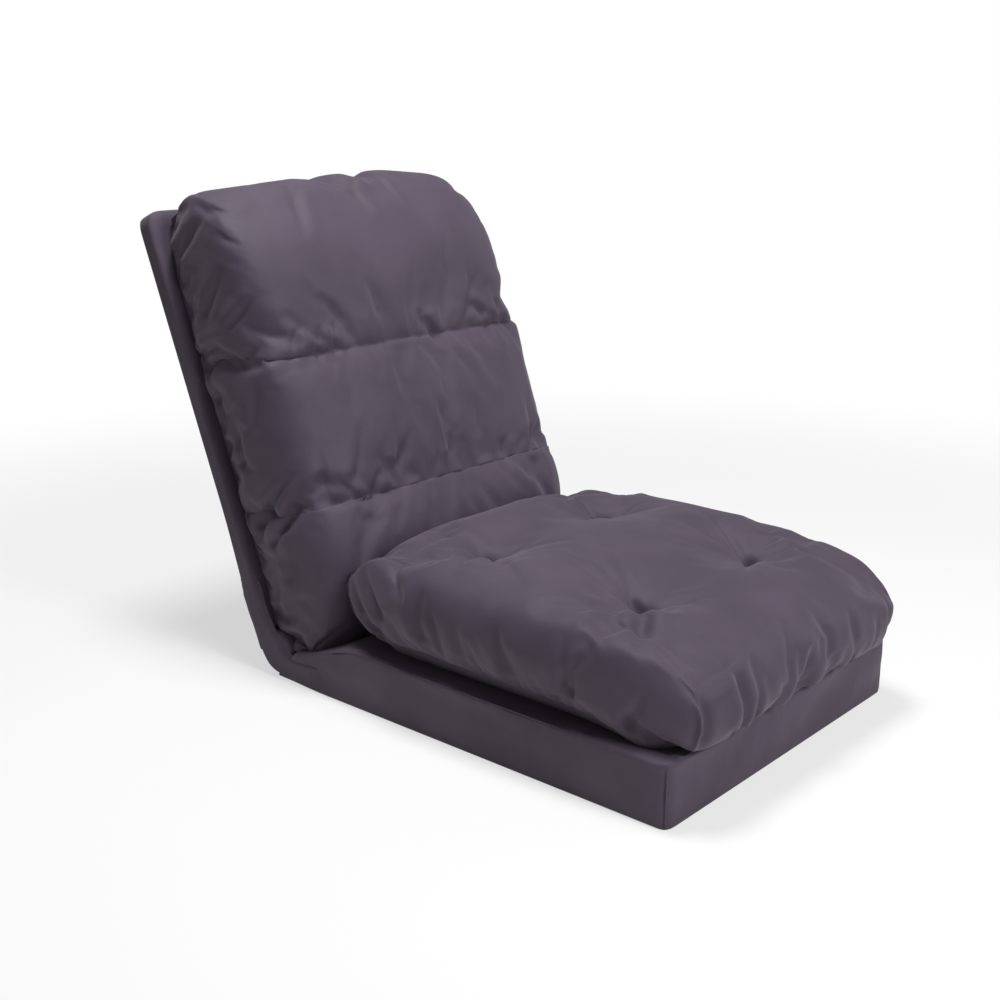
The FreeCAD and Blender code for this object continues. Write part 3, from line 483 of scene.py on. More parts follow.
# Seat cushion, from the slab's front edge to the rear: y is behind the slab's front, z above the floor.
# Each fold has two ends, a depth and a width: on the top over (x, y), the front (x, z) and the sides (y, z)
seatLook = {
    "halfWidth": 0.308,
    "rows": (64, 70, 18),
    "seams": [],
    "seamSpread": 0.004,
    "tufts": [(-0.145, 0.165), (0.145, 0.165), (-0.145, 0.455), (0.145, 0.455)],
    "section": [
        (0.004, 0.0975), (-0.020, 0.118), (-0.025, 0.158), (-0.004, 0.202),
        (0.045, 0.234), (0.10, 0.250), (0.165, 0.257), (0.24, 0.262), (0.31, 0.265), (0.38, 0.266),
        (0.455, 0.266), (0.53, 0.265), (0.592, 0.252), (0.630, 0.212), (0.638, 0.165), (0.624, 0.125),
        (0.590, 0.100), (0.45, 0.0965), (0.3, 0.0965), (0.15, 0.0965),
    ],
    "corners": [0, 3, 13, 16],
    "centre": (0.31, 0.165),
    "roundness": 5.5,
    "squareness": (0.95, 0.95, 0.75),
    "drawIn": 0.1,
    "endSwell": 0.012,
    "topFrom": (0.15, 0.22),
    "tuftSinks": [(0.018, 0.070), (0.016, 0.020)],
    "rowSink": (0.011, 0.05),
    "rowEnds": (0.5, 0.85),
    "lowUnder": (0.10, 0.17),
    "cornerLift": 0.026,
    "liftAcross": (0.75, 1),
    "liftBehind": (0.02, 0.2),
    "threadReach": 0.011,
    "threadAbove": 0.18,
    "foldShares": {"all": 0.6, "front": 0.5, "side": 0.2, "tuft": 0.4, "corner": 0.9},
    "frontUntil": (0.03, 0.16),
    "sideFrom": (0.22, 0.29),
    "tuftWidth": 0.09,
    "cornerFrom": (0.20, 0.28),
    "cornerUntil": (0.04, 0.14),
    "foldReach": 0.022,
    "foldDeeper": 1.3,
    "foldWider": 1.1,
    "sideFoldShift": 0.07,
    "turnedKeep": 0.57,
    "topFolds": [
        ((-0.145, 0.455), (-0.17, 0.51), 0.005, 0.007), ((-0.145, 0.455), (-0.27, 0.415), 0.005, 0.008),
        ((-0.145, 0.455), (-0.25, 0.30), 0.004, 0.008), ((-0.145, 0.455), (-0.06, 0.41), 0.004, 0.008),
        ((0.145, 0.455), (0.16, 0.54), 0.005, 0.008), ((0.145, 0.455), (0.22, 0.41), 0.004, 0.008),
        ((0.145, 0.455), (0.05, 0.42), 0.004, 0.009),
        ((-0.145, 0.165), (-0.10, 0.335), 0.005, 0.008), ((-0.155, 0.175), (-0.15, 0.29), 0.004, 0.007),
        ((-0.140, 0.175), (-0.055, 0.29), 0.004, 0.007), ((-0.145, 0.165), (-0.08, 0.09), 0.005, 0.008),
        ((-0.145, 0.165), (-0.29, 0.06), 0.006, 0.009),
        ((0.145, 0.165), (0.21, 0.30), 0.006, 0.008), ((0.145, 0.165), (0.23, 0.10), 0.005, 0.008),
        ((0.145, 0.165), (-0.03, 0.07), 0.005, 0.009), ((0.145, 0.165), (0.13, 0.28), 0.004, 0.008),
    ],
    "frontFolds": [
        ((-0.170, 0.110), (-0.190, 0.225), 0.006, 0.008), ((-0.139, 0.110), (-0.140, 0.200), 0.005, 0.007),
        ((-0.036, 0.104), (-0.029, 0.165), 0.005, 0.007), ((-0.255, 0.120), (-0.275, 0.215), 0.006, 0.008),
        ((0.135, 0.108), (0.128, 0.190), 0.004, 0.007), ((0.060, 0.106), (0.050, 0.160), 0.004, 0.007),
        ((0.254, 0.108), (0.242, 0.195), 0.004, 0.006), ((0.200, 0.106), (0.205, 0.165), 0.004, 0.007),
    ],
    "sideFolds": [
        ((0.018, 0.100), (0.085, 0.140), 0.007, 0.009), ((0.075, 0.125), (0.050, 0.175), 0.005, 0.007),
        ((0.168, 0.150), (0.180, 0.235), 0.005, 0.008), ((0.275, 0.150), (0.295, 0.225), 0.005, 0.008),
        ((0.440, 0.160), (0.450, 0.215), 0.005, 0.008), ((0.550, 0.135), (0.615, 0.190), 0.007, 0.009),
        ((0.530, 0.170), (0.590, 0.220), 0.006, 0.008), ((0.360, 0.140), (0.365, 0.195), 0.004, 0.008),
    ],
}


def buildSeatCushion():
    look = seatLook
    mesh, places = paddedBlock(look)[:2]
    tuftRows = sorted({y for x, y in look["tufts"]})
    rowDepth, rowWidth = look["rowSink"]
    for vert, (x, spot, row, layer) in places.items():
        y, z = spot
        side = abs(x) / look["halfWidth"]
        top = easeIn(*look["topFrom"], z)
        if top:
            for tuftX, tuftY in look["tufts"]:
                distance = math.hypot(x - tuftX, y - tuftY)
                z -= top * sum(depth * hump(distance, width) for depth, width in look["tuftSinks"])
            for rowY in tuftRows:
                z -= top * rowDepth * hump(y - rowY, rowWidth) * (1 - easeIn(*look["rowEnds"], side))
        low = 1 - easeIn(*look["lowUnder"], z)
        z += low * look["cornerLift"] * easeIn(*look["liftAcross"], side) * easeIn(*look["liftBehind"], y)
        vert.co = Vector((x, slabFront + y, z))
    mesh.verts.index_update()
    held = {}
    for vert, (x, spot, row, layer) in places.items():
        away = min(math.hypot(x - tuftX, vert.co.y - slabFront - tuftY) for tuftX, tuftY in look["tufts"])
        if layer == 0 or vert.co.z > look["threadAbove"] and away < look["threadReach"]:
            held[vert.index] = 1.0
    piece = newPiece("seatCushion", mesh, coverCloth)

    def foldAt(place):
        shares = look["foldShares"]
        y = place.y - slabFront
        front = 1 - easeIn(*look["frontUntil"], y)
        side = easeIn(*look["sideFrom"], abs(place.x))
        away = min(math.hypot(place.x - tuftX, y - tuftY) for tuftX, tuftY in look["tufts"])
        tuft = hump(away, look["tuftWidth"])
        corner = easeIn(*look["cornerFrom"], abs(place.x)) * (1 - easeIn(*look["cornerUntil"], y))
        return (shares["all"] + shares["front"] * front + shares["side"] * side + shares["tuft"] * tuft
                - shares["corner"] * corner)

    swellCloth(piece, held, foldAt, look["foldReach"])
    subdivideOnce(piece)
    lines = [((0, 0, 1), (start[0], slabFront + start[1], 0), (end[0], slabFront + end[1], 0), depth, width)
             for start, end, depth, width in look["topFolds"]]
    lines += [((0, -1, 0), (start[0], 0, start[1]), (end[0], 0, end[1]), depth, width)
              for start, end, depth, width in look["frontFolds"]]
    for hand, shift in ((-1, 0), (1, look["sideFoldShift"])):
        for start, end, depth, width in look["sideFolds"]:
            lines.append(((hand, 0, 0), (0, slabFront + start[0] + shift, start[1]),
                          (0, slabFront + end[0] + shift, end[1]), depth, width))
    pressFolds(piece, [(facing, start, end, look["foldDeeper"] * depth, look["foldWider"] * width)
                       for facing, start, end, depth, width in lines])
    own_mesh(piece)
    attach(piece, "seat")
    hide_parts("seat_cushion_cover", "seat_cushion_fill", "seat_tuft_threads")


buildSeatCushion()
print("stage: seat cushion")

# Back cushion, over the hinge: the section gives (up the back, out from the hinge towards the sitter).
# Front folds run over (x, up the back), and side folds over (up the back, out from the hinge)
backLook = {
    "halfWidth": 0.306,
    "rows": (60, 92, 20),
    "section": [
        (0.037, 0.0052), (0.010, 0.038), (-0.010, 0.080), (0.006, 0.128),
        (0.050, 0.166), (0.12, 0.199), (0.18, 0.204), (0.235, 0.196), (0.29, 0.201), (0.36, 0.203),
        (0.43, 0.201), (0.487, 0.196), (0.54, 0.204), (0.60, 0.201), (0.66, 0.184), (0.710, 0.154),
        (0.746, 0.118), (0.761, 0.078), (0.755, 0.038), (0.734, 0.006),
        (0.6, 0.0052), (0.4, 0.0052), (0.2, 0.0052),
    ],
    "corners": [0, 3, 15, 19],
    "seams": (0.292, 0.622),
    "seamSpread": 0.004,
    "seamLevels": (0.235, 0.487),
    "centre": (0.372, 0.085),
    "roundness": 6,
    "squareness": (0.5, 0.85, 0.6),
    "drawIn": 0.1,
    "endSwell": 0.012,
    "stitchSink": 0.006,
    "stitchLoose": (0.6, 0.2, 0.3),
    "sagFrom": (0.55, 0.78),
    "leftSag": 0.021,
    "leftSagFrom": 0.4,
    "rightSag": 0.008,
    "rightSagFrom": 0.7,
    "foldShares": {"all": 0.7, "seam": 0.1, "top": 0.3, "edge": 0.2, "rear": 0.5},
    "seamWidth": 0.045,
    "topFrom": (0.68, 0.75),
    "rearUntil": (0.03, 0.12),
    "edgeFrom": (0.1, 0.3),
    "foldReach": 0.02,
    "frontFolds": [
        ((-0.194, 0.480), (-0.212, 0.420), 0.004, 0.006), ((-0.163, 0.480), (-0.170, 0.405), 0.005, 0.007),
        ((-0.235, 0.482), (-0.260, 0.437), 0.004, 0.007), ((0.045, 0.465), (0.115, 0.355), 0.006, 0.010),
        ((0.167, 0.480), (0.245, 0.442), 0.005, 0.008), ((-0.204, 0.240), (-0.172, 0.310), 0.005, 0.008),
        ((-0.264, 0.240), (-0.258, 0.292), 0.005, 0.007), ((-0.110, 0.240), (-0.065, 0.290), 0.004, 0.008),
        ((-0.253, 0.205), (-0.125, 0.196), 0.004, 0.008), ((-0.158, 0.230), (-0.195, 0.180), 0.005, 0.008),
        ((-0.120, 0.730), (-0.165, 0.640), 0.005, 0.009), ((0.012, 0.740), (-0.010, 0.665), 0.005, 0.009),
        ((0.080, 0.740), (0.082, 0.670), 0.004, 0.008), ((0.020, 0.240), (0.030, 0.285), 0.004, 0.008),
        ((0.037, 0.480), (0.025, 0.420), 0.004, 0.007), ((0.167, 0.495), (0.180, 0.550), 0.004, 0.008),
        ((0.230, 0.230), (0.245, 0.300), 0.005, 0.008), ((0.150, 0.230), (0.140, 0.180), 0.004, 0.008),
        ((0.235, 0.480), (0.262, 0.420), 0.005, 0.007), ((-0.060, 0.495), (-0.075, 0.560), 0.004, 0.009),
    ],
    "sideFolds": [
        ((0.660, 0.040), (0.700, 0.125), 0.006, 0.008), ((0.555, 0.080), (0.600, 0.140), 0.006, 0.009),
        ((0.520, 0.130), (0.548, 0.185), 0.006, 0.007), ((0.205, 0.045), (0.262, 0.160), 0.010, 0.008),
        ((0.172, 0.080), (0.240, 0.172), 0.009, 0.008), ((0.498, 0.010), (0.500, 0.110), 0.008, 0.008),
        ((0.400, 0.035), (0.455, 0.042), 0.006, 0.008), ((0.310, 0.060), (0.365, 0.072), 0.006, 0.009),
        ((0.672, 0.030), (0.695, 0.080), 0.005, 0.007), ((0.070, 0.030), (0.120, 0.060), 0.005, 0.008),
        ((0.360, 0.120), (0.420, 0.150), 0.005, 0.010), ((0.110, 0.090), (0.150, 0.140), 0.004, 0.010),
    ],
}


def buildBackCushion():
    look = backLook
    mesh, places, marks = paddedBlock(look)
    mesh.verts.index_update()
    loose, looseFrom, looseTo = look["stitchLoose"]
    held = {}
    for vert, (x, spot, row, layer) in places.items():
        up, out = spot
        side = (1 - x / look["halfWidth"]) / 2
        sag = (look["leftSag"] * clampShare((side - look["leftSagFrom"]) / (1 - look["leftSagFrom"]))
               + look["rightSag"] * easeIn(look["rightSagFrom"], 1, 1 - side))
        up -= easeIn(*look["sagFrom"], up) * sag
        if row in marks:
            out -= look["stitchSink"] * layer / look["rows"][2]
        vert.co = onBack(x, up, out)
        if layer == 0:
            held[vert.index] = 1.0
        elif row in marks:
            held[vert.index] = 1 - loose * easeIn(looseFrom, looseTo, abs(x))
    piece = newPiece("backCushion", mesh, coverCloth)

    def foldAt(place):
        shares = look["foldShares"]
        up, out = (place - hinge).dot(backUp), (place - hinge).dot(backOut)
        seam = max(hump(up - level, look["seamWidth"]) for level in look["seamLevels"])
        top = easeIn(*look["topFrom"], up)
        rear = 1 - easeIn(*look["rearUntil"], out)
        edge = easeIn(*look["edgeFrom"], abs(place.x))
        return (shares["all"] + shares["seam"] * seam + shares["top"] * top
                + (shares["edge"] + shares["rear"] * rear) * edge)

    swellCloth(piece, held, foldAt, look["foldReach"])
    subdivideOnce(piece)
    lines = [(backOut, onBack(*start, 0), onBack(*end, 0), depth, width)
             for start, end, depth, width in look["frontFolds"]]
    for hand in (-1, 1):
        lines += [((hand, 0, 0), onBack(0, *start), onBack(0, *end), depth, width)
                  for start, end, depth, width in look["sideFolds"]]
    pressFolds(piece, lines)
    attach(piece, "back")
    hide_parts("back_cushion_cover", "back_fill_bottom", "back_fill_middle", "back_fill_top")


buildBackCushion()
print("stage: back cushion")


# Slab cover: the roof gives (behind the slab's front, above the floor), cupped under the hinge line
slabLook = {
    "halfWidth": 0.3075,
    "rows": (54, 74, 10),
    "roof": [(0, 0.094), (0.3, 0.0945), (0.585, 0.094), (0.62, 0.087), (0.70, 0.060), (0.728, 0.0525),
             (0.7365, 0.050), (0.7380, 0.040), (0.7405, 0.031), (0.746, 0.0225), (0.754, 0.0155),
             (0.762, 0.0110), (0.767, 0.0095), (0.771, 0.0085)],
    "cornerRound": 0.020,
    "edgeRound": 0.007,
    "floorRound": 0.003,
    "clothWall": 0.0014,
    "closeRows": (0.03, 0.022, 0.12),
    "recess": (0.004, 0.02),
    "recessDepth": 1.15,
    "recessRear": 0.735,
    "rearLift": 0.004,
    "rearLiftFrom": (0.66, 0.78),
    "rippleWidth": 0.02,
    "rippleDepth": 0.005,
    "fineDepth": 0.002,
    "rippleMost": 0.002,
    "pressedKeep": 0.96,
}


# Rounds a corner of two directions: how far in from each face, and the radius
def roundedIn(inFirst, inSecond, radius):
    first, second = max(0.0, radius - inFirst), max(0.0, radius - inSecond)
    reach = math.hypot(first, second)
    if reach <= radius or not reach:
        return inFirst, inSecond
    return radius - first * radius / reach, radius - second * radius / reach


# Rows from 0 to 1 with some drawn in close to both ends
def edgeRows(count, near):
    rows = [0, near * 0.35, near * 0.7, near]
    middle = count - 6
    rows += [near + (1 - 2 * near) * step / middle for step in range(1, middle)]
    return rows + [1 - near, 1 - near * 0.7, 1 - near * 0.35, 1]


# Gives the piece a mesh of its own
def pressWithSeat(piece):
    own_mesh(piece)


def buildSlabCover():
    look = slabLook
    rowsAcross, rowsDeep, rowsHigh = look["rows"]
    closeAcross, closeDeep, closeHigh = look["closeRows"]
    mesh = gridBlock(look["rows"])
    roof = pointsAt([Vector(point) for point in look["roof"]], edgeRows(rowsDeep, closeDeep))
    sideShares, levels = edgeRows(rowsAcross, closeAcross), edgeRows(rowsHigh, closeHigh)
    half, tight = look["halfWidth"], look["edgeRound"]
    for vert in mesh.verts:
        across, deep, high = vert.co
        spot = roof[round((deep + 1) / 2 * rowsDeep)]
        level = levels[round((high + 1) / 2 * rowsHigh)]
        x = (2 * sideShares[round((across + 1) / 2 * rowsAcross)] - 1) * half
        y, z = spot.x, spot.y * level
        inSide, inEnd = roundedIn(half - abs(x), y, look["cornerRound"])
        inSide, inTop = roundedIn(inSide, spot.y - z, tight)
        inEnd, inTop = roundedIn(inEnd, inTop, tight)
        inSide, inFloor = roundedIn(inSide, z, look["floorRound"])
        z = spot.y - inTop if high > 0 else inFloor
        y = inEnd if y < 2 * look["cornerRound"] else y
        recess = easeIn(*look["recess"], min(half - abs(x), y, look["recessRear"] - y))
        lift = look["rearLift"] * easeIn(*look["rearLiftFrom"], y)
        z += (1 - level) * (recess * look["recessDepth"] * look["clothWall"] + lift)
        vert.co = Vector((math.copysign(half - inSide, x), slabFront + y, z))
    piece = newPiece("slabCover", mesh, coverCloth)
    for vert in piece.data.vertices:
        place = vert.co
        side = max(hump(half - abs(place.x), look["rippleWidth"]),
                   hump(place.y - slabFront, look["rippleWidth"]))
        ripple = noise.noise(Vector((place.x * 7, place.y * 5, place.z * 24)))
        fine = noise.noise(Vector((place.x * 22 + 7, place.y * 20, place.z * 60)))
        swing = side * (look["rippleDepth"] * ripple + look["fineDepth"] * fine) * easeIn(0, 0.03, place.z)
        vert.co = place + vert.normal * min(swing, look["rippleMost"])
    subdivideOnce(piece)
    for vert in piece.data.vertices:
        vert.co.z = max(0.0, vert.co.z)
    pressWithSeat(piece)
    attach(piece, "base")
    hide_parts("base_cover", "base_foam_lower", "base_foam_upper")


seamLook = {
    "radius": 0.0012,
    "sides": 6,
    "edgeShare": 0.29,
    "cornerBack": 0.0003,
    "cornerPoints": 7,
    "frontSteps": 30,
    "roofPoints": 6,
    "roofSteps": 60,
    "lowest": 0.003,
    "step": 0.0035,
    "uprightSteps": 25,
}


# A sewn seam's cord along a line of points
def buildCord(name, line):
    look = seamLook
    mesh = bmesh.new()
    rings = []
    for index, place in enumerate(line):
        ahead = (line[min(index + 1, len(line) - 1)] - line[max(index - 1, 0)]).normalized()
        upright = abs(ahead.z) > 0.9
        first = (ahead.orthogonal() if upright else ahead.cross(Vector((0, 0, 1)))).normalized()
        second = ahead.cross(first)
        ring = []
        for number in range(look["sides"]):
            turn = math.tau * number / look["sides"]
            rim = place + look["radius"] * (math.cos(turn) * first + math.sin(turn) * second)
            ring.append(bmesh.ops.create_vert(mesh, co=rim)["vert"][0])
        rings.append(ring)
    for low, high in zip(rings, rings[1:]):
        for number in range(look["sides"]):
            after = (number + 1) % look["sides"]
            bmesh.ops.contextual_create(mesh, geom=[low[number], low[after], high[after], high[number]])
    piece = newPiece(name, mesh, coverCloth)
    pressWithSeat(piece)
    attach(piece, "base")


# The seam round the slab's top edge, and one down each front corner
def buildSlabSeams():
    look = seamLook
    half, corner = slabLook["halfWidth"], slabLook["cornerRound"]
    inset = look["edgeShare"] * slabLook["edgeRound"]
    level = slabLook["roof"][0][1] - inset
    shares = [row / look["roofSteps"] for row in range(look["roofSteps"] + 1)]
    roof = pointsAt([Vector(point) for point in slabLook["roof"][:look["roofPoints"]]], shares)
    side = [Vector((-half + inset, slabFront + spot.x, spot.y - inset)) for spot in roof if spot.x > corner]
    bend = []
    for step in range(1, look["cornerPoints"]):
        turn = math.radians(90 * step / look["cornerPoints"])
        reach = corner - inset
        bend.append(Vector((-half + corner - reach * math.cos(turn),
                            slabFront + corner - reach * math.sin(turn), level)))
    steps = look["frontSteps"]
    front = [Vector((step / steps * (half - corner), slabFront + inset, level))
             for step in range(-steps, steps + 1)]
    left = list(reversed(side)) + bend
    right = [Vector((-place.x, place.y, place.z)) for place in reversed(left)]
    buildCord("slabTopSeam", left + front + right)
    inward = corner * (1 - math.sqrt(0.5)) - look["cornerBack"]
    heights = [look["lowest"] + look["step"] * row for row in range(look["uprightSteps"])]
    for hand, name in ((-1, "slabSeamLeft"), (1, "slabSeamRight")):
        buildCord(name, [Vector((hand * (half - inward), slabFront + inward, height)) for height in heights])


# The sewn tape between slab and seat cushion, which turns over with the cushion
tapeLook = {
    "halfWidth": 0.281,
    "wide": 0.022,
    "wall": 0.0011,
    "back": 0.001,
    "level": 0.0949,
    "wave": 0.0004,
}


def buildHingeTape():
    look = tapeLook
    mesh = gridBlock((60, 2, 1))
    for vert in mesh.verts:
        across, deep, high = vert.co
        wave = look["wave"] * noise.noise(Vector((across * 9, deep, 0)))
        vert.co = Vector((across * look["halfWidth"],
                          slabFront + look["back"] + look["wide"] * (deep + 1) / 2 + wave,
                          look["level"] + look["wall"] * high / 2))
    piece = newPiece("hingeTape", mesh, tapeCloth)
    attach(piece, "seat")
    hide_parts("seat_hinge_tape")


# Non-slip cloth under the slab, its corners rounded
undersideLook = {"inset": 0.011, "rear": 0.728, "corner": 0.014}


def buildUndersideCloth():
    look = undersideLook
    halfWidth, front, rear = slabLook["halfWidth"] - look["inset"], look["inset"], look["rear"]
    mesh = gridBlock((40, 48, 1))
    for vert in mesh.verts:
        across, deep, high = vert.co
        x, y = across * halfWidth, front + (rear - front) * (deep + 1) / 2
        inSide, inEnd = roundedIn(halfWidth - abs(x), min(y - front, rear - y), look["corner"])
        x = math.copysign(halfWidth - inSide, x)
        y = front + inEnd if deep < 0 else rear - inEnd
        vert.co = Vector((x, slabFront + y, slabLook["clothWall"] * (high + 1) / 2))
    piece = newPiece("undersideCloth", mesh, gripCloth)
    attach(piece, "base")
    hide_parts("base_underside_cloth")


buildSlabCover()
buildUndersideCloth()
buildHingeTape()
buildSlabSeams()
print("stage: slab cover")

# Back panel: a padded board behind the back cushion
panelLook = {
    "halfWidth": 0.310,
    "rows": (50, 72, 6),
    "sleeveGap": 0.0368,
    "high": 0.750,
    "rear": -0.035,
    "lowRear": -0.044,
    "lowUnder": (0.06, 0.24),
    "front": 0.004,
    "corner": 0.026,
    "edgeThinner": 0.3,
    "edgeWidth": 0.009,
    "fullness": 0.006,
    "ripple": 0.0012,
}


def buildBackPanel():
    look = panelLook
    half, high, corner = look["halfWidth"], look["high"], look["corner"]
    mesh = gridBlock(look["rows"])
    for vert in mesh.verts:
        across, along, deep = vert.co
        x = across * half
        share = (along + 1) / 2
        low = 1 - easeIn(*look["lowUnder"], high * share)
        rear = look["rear"] + (look["lowRear"] - look["rear"]) * low
        middle = (rear + look["front"]) / 2
        depth = (look["front"] - rear) / 2
        foot = math.sqrt(max(0.00002, look["sleeveGap"] ** 2 - (middle + deep * depth) ** 2))
        up = foot + (high - foot) * share
        pastX, pastUp = max(0, abs(x) - (half - corner)), max(0, up - (high - corner))
        reach = math.hypot(pastX, pastUp)
        if pastX and pastUp and reach > corner:
            x = math.copysign(half - corner + pastX * corner / reach, x)
            up = high - corner + pastUp * corner / reach
        edge = min(half - abs(x), high - up)
        puff = 1 - look["edgeThinner"] * hump(edge, look["edgeWidth"])
        out = middle + deep * depth * puff
        if deep < 0:
            out += deep * look["fullness"] * (1 - across ** 4) * (1 - along ** 4)
        if deep < -0.99:
            out += look["ripple"] * noise.noise(Vector((x * 5, up * 4, deep)))
        vert.co = onBack(x, up, out)
    piece = newPiece("backPanel", mesh, coverCloth)
    subdivideOnce(piece)
    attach(piece, "back")
    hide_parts("back_panel_cover", "back_foam_front", "back_foam_rear")


buildBackPanel()
print("stage: back panel")

# Hinge sleeve: the cloth that turns round the hinge line between the slab and the panel
sleeveLook = {
    "halfWidth": 0.3045,
    "radius": 0.0360,
    "rows": 60,
    "sides": 40,
    "endShrink": 0.10,
    "endWidth": 0.004,
    "ripple": 0.03,
}


# Bakes the piece's place into its mesh
def blendRoundHinge(piece):
    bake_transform(piece)


def buildHingeSleeve():
    look = sleeveLook
    mesh = bmesh.new()
    ring = bmesh.ops.create_circle(mesh, cap_ends=False, radius=look["radius"], segments=look["sides"])
    turn = Matrix.Rotation(math.radians(90), 4, "Y")
    bmesh.ops.transform(mesh, matrix=Matrix.Translation((-look["halfWidth"], 0, 0)) @ turn, verts=mesh.verts)
    edges = mesh.edges[:]
    step = 2 * look["halfWidth"] / look["rows"]
    for row in range(look["rows"]):
        made = bmesh.ops.extrude_edge_only(mesh, edges=edges)["geom"]
        newVerts = [part for part in made if isinstance(part, bmesh.types.BMVert)]
        bmesh.ops.translate(mesh, vec=(step, 0, 0), verts=newVerts)
        edges = [part for part in made if isinstance(part, bmesh.types.BMEdge)]
    bmesh.ops.holes_fill(mesh, edges=mesh.edges)
    for vert in mesh.verts:
        end = look["halfWidth"] - abs(vert.co.x)
        shrink = 1 - look["endShrink"] * hump(end, look["endWidth"])
        ripple = noise.noise(Vector((vert.co.x * 30, vert.co.y * 40, vert.co.z * 40)))
        scale = shrink * (1 - look["ripple"] + look["ripple"] * ripple)
        vert.co = Vector((vert.co.x, vert.co.y * scale, vert.co.z * scale)) + hinge
    piece = newPiece("hingeSleeve", mesh, coverCloth)
    blendRoundHinge(piece)
    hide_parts("hinge_gusset", "hinge_foam_roll")


# Corner cloth: at each side, from the slab's rear end round to the panel's lower end. Its two edges
# are given behind the slab's front and above the floor
cornerLook = {
    "outer": [(0.660, 0.0015), (0.700, 0.002), (0.740, 0.0045), (0.769, 0.0075), (0.788, 0.013),
              (0.802, 0.024), (0.8125, 0.040), (0.823, 0.059), (0.835, 0.083), (0.849, 0.113),
              (0.864, 0.149)],
    "inner": [(0.655, 0.050), (0.695, 0.046), (0.722, 0.044), (0.736, 0.046), (0.748, 0.052), (0.760, 0.062),
              (0.772, 0.074), (0.783, 0.088), (0.793, 0.106), (0.803, 0.130), (0.815, 0.158)],
    "level": 0.3095,
    "tuck": 0.007,
    "rows": 44,
    "columns": 14,
    "rimEnds": (0.12, 0.88),
    "outerRim": 0.75,
    "ripple": 0.0012,
}


def buildCornerCloth(hand, name):
    look = cornerLook
    shares = [row / look["rows"] for row in range(look["rows"] + 1)]
    edges = []
    for points in (look["inner"], look["outer"]):
        line = []
        last = len(points) - 1
        for index in range(last):
            near = [Vector(points[max(0, min(last, index + step))]) for step in (-1, 0, 1, 2)]
            line += smoothSpan(*near, 8)
        edges.append(pointsAt(line + [Vector(points[last])], shares))
    mesh = bmesh.new()
    bmesh.ops.create_grid(mesh, x_segments=look["columns"], y_segments=look["rows"], size=1)
    rimFrom, rimTo = look["rimEnds"]
    for vert in mesh.verts:
        across, along = (vert.co.x + 1) / 2, (vert.co.y + 1) / 2
        row = round(along * look["rows"])
        share = row / look["rows"]
        spot = edges[0][row].lerp(edges[1][row], 1 - (1 - across) ** 1.3)
        rim = max(easeIn(look["outerRim"], 1, across) ** 2, 1 - easeIn(0, rimFrom, across),
                  1 - easeIn(0, rimFrom, share), easeIn(rimTo, 1, share))
        ripple = noise.noise(Vector((spot.x * 30, spot.y * 45, hand)))
        x = look["level"] + look["ripple"] * ripple - look["tuck"] * rim
        vert.co = Vector((hand * x, slabFront + spot.x, spot.y))
    piece = newPiece(name, mesh, coverCloth)
    blendRoundHinge(piece)


buildHingeSleeve()
buildCornerCloth(-1, "cornerLeft")
buildCornerCloth(1, "cornerRight")
print("stage: hinge sleeve")

# The frames, hinges and cores show their own solids
for name, nodes in nodeMaterials.items():
    material = plainMaterial(name)
    for node in nodes:
        data = frame["nodes"][node].data
        data.materials.clear()
        data.materials.append(material)

# Camera, at the photograph's angle
cameraLook = {
    "place": (-1.6746, -1.3011, 0.9143),
    "azimuth": -48.99,
    "elevation": 15.96,
    "roll": 0.19,
    "lens": 50.2,
    "sensor": 36,
}


def buildCamera():
    look = cameraLook
    data = bpy.data.cameras.new("camera")
    data.lens = look["lens"]
    data.sensor_width = look["sensor"]
    camera = bpy.data.objects.new("camera", data)
    bpy.context.scene.collection.objects.link(camera)
    azimuth, elevation = math.radians(look["azimuth"]), math.radians(look["elevation"])
    back = Vector((math.sin(azimuth) * math.cos(elevation), -math.cos(azimuth) * math.cos(elevation),
                   math.sin(elevation)))
    roll = Matrix.Rotation(math.radians(look["roll"]), 3, "Z")
    turn = back.to_track_quat("Z", "Y").to_matrix() @ roll
    camera.matrix_world = Matrix.Translation(look["place"]) @ turn.to_4x4()
    bpy.context.scene.camera = camera


# A pale floor that takes the chair's shadow and fades to white away from it
floorLook = {
    "size": 30,
    "colour": (0.8, 0.8, 0.8),
    "roughness": 0.9,
    "fadeFrom": 0.9,
    "fadeTo": 2.6,
    "fadeLeast": 0.6,
}


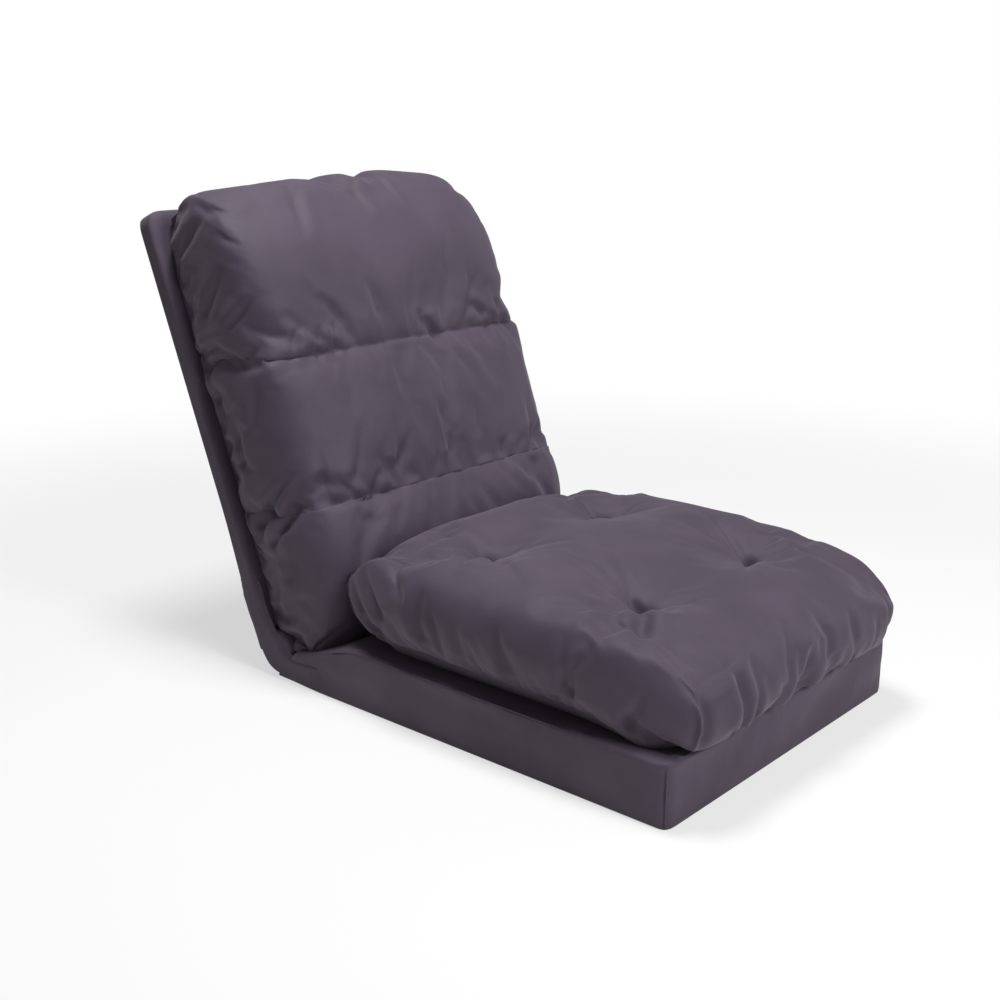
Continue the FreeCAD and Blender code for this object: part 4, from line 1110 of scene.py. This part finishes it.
def buildStage():
    look = floorLook
    mesh = bmesh.new()
    bmesh.ops.create_grid(mesh, x_segments=1, y_segments=1, size=look["size"])
    material, nodes, links, shader = nodeMaterial("paleFloor")
    shader.inputs["Base Color"].default_value = (*look["colour"], 1)
    shader.inputs["Roughness"].default_value = look["roughness"]
    glow = nodes.new("ShaderNodeEmission")
    glow.inputs["Strength"].default_value = 1
    place = nodes.new("ShaderNodeTexCoord")
    away = nodes.new("ShaderNodeVectorMath")
    away.operation = "LENGTH"
    links.new(place.outputs["Object"], away.inputs[0])
    fade = nodes.new("ShaderNodeMapRange")
    fade.interpolation_type = "SMOOTHSTEP"
    fade.inputs["From Min"].default_value = look["fadeFrom"]
    fade.inputs["From Max"].default_value = look["fadeTo"]
    fade.inputs["To Min"].default_value = look["fadeLeast"]
    links.new(away.outputs["Value"], fade.inputs["Value"])
    path = nodes.new("ShaderNodeLightPath")
    share = nodes.new("ShaderNodeMath")
    share.operation = "MULTIPLY"
    links.new(fade.outputs["Result"], share.inputs[1])
    links.new(path.outputs["Is Camera Ray"], share.inputs[0])
    mix = nodes.new("ShaderNodeMixShader")
    links.new(share.outputs[0], mix.inputs["Fac"])
    links.new(shader.outputs["BSDF"], mix.inputs[1])
    links.new(glow.outputs["Emission"], mix.inputs[2])
    links.new(mix.outputs["Shader"], nodes["Material Output"].inputs["Surface"])
    floor = newPiece("floor", mesh, material)


# Soft studio lamps: place, size across in metres and watts
lightLook = {
    "world": 0.22,
    "aim": (0, 0.1, 0.3),
    "lamps": [
        ("key", (-0.2, -2.6, 2.2), 0.8, 56),
        ("fill", (2.4, -1.6, 1.6), 2.0, 10),
        ("top", (-0.2, 0.3, 2.8), 0.8, 58),
    ],
}


def buildLights():
    world = bpy.data.worlds.new("studio")
    bpy.context.scene.world = world
    world.use_nodes = True
    nodes, links = world.node_tree.nodes, world.node_tree.links
    sky = nodes["Background"]
    sky.inputs["Color"].default_value = (1, 1, 1, 1)
    sky.inputs["Strength"].default_value = lightLook["world"]
    seen = nodes.new("ShaderNodeBackground")
    seen.inputs["Color"].default_value = (1, 1, 1, 1)
    path = nodes.new("ShaderNodeLightPath")
    mix = nodes.new("ShaderNodeMixShader")
    links.new(path.outputs["Is Camera Ray"], mix.inputs["Fac"])
    links.new(sky.outputs["Background"], mix.inputs[1])
    links.new(seen.outputs["Background"], mix.inputs[2])
    links.new(mix.outputs["Shader"], nodes["World Output"].inputs["Surface"])
    for name, place, size, power in lightLook["lamps"]:
        data = bpy.data.lights.new(name, "AREA")
        data.shape = "DISK"
        data.size = size
        data.energy = power
        lamp = bpy.data.objects.new(name, data)
        bpy.context.scene.collection.objects.link(lamp)
        aim = (Vector(place) - Vector(lightLook["aim"])).to_track_quat("Z", "Y")
        lamp.matrix_world = Matrix.Translation(place) @ aim.to_matrix().to_4x4()


buildCamera()
buildStage()
buildLights()
bpy.context.scene.view_settings.view_transform = "Standard"
print("stage: camera, floor and lights")
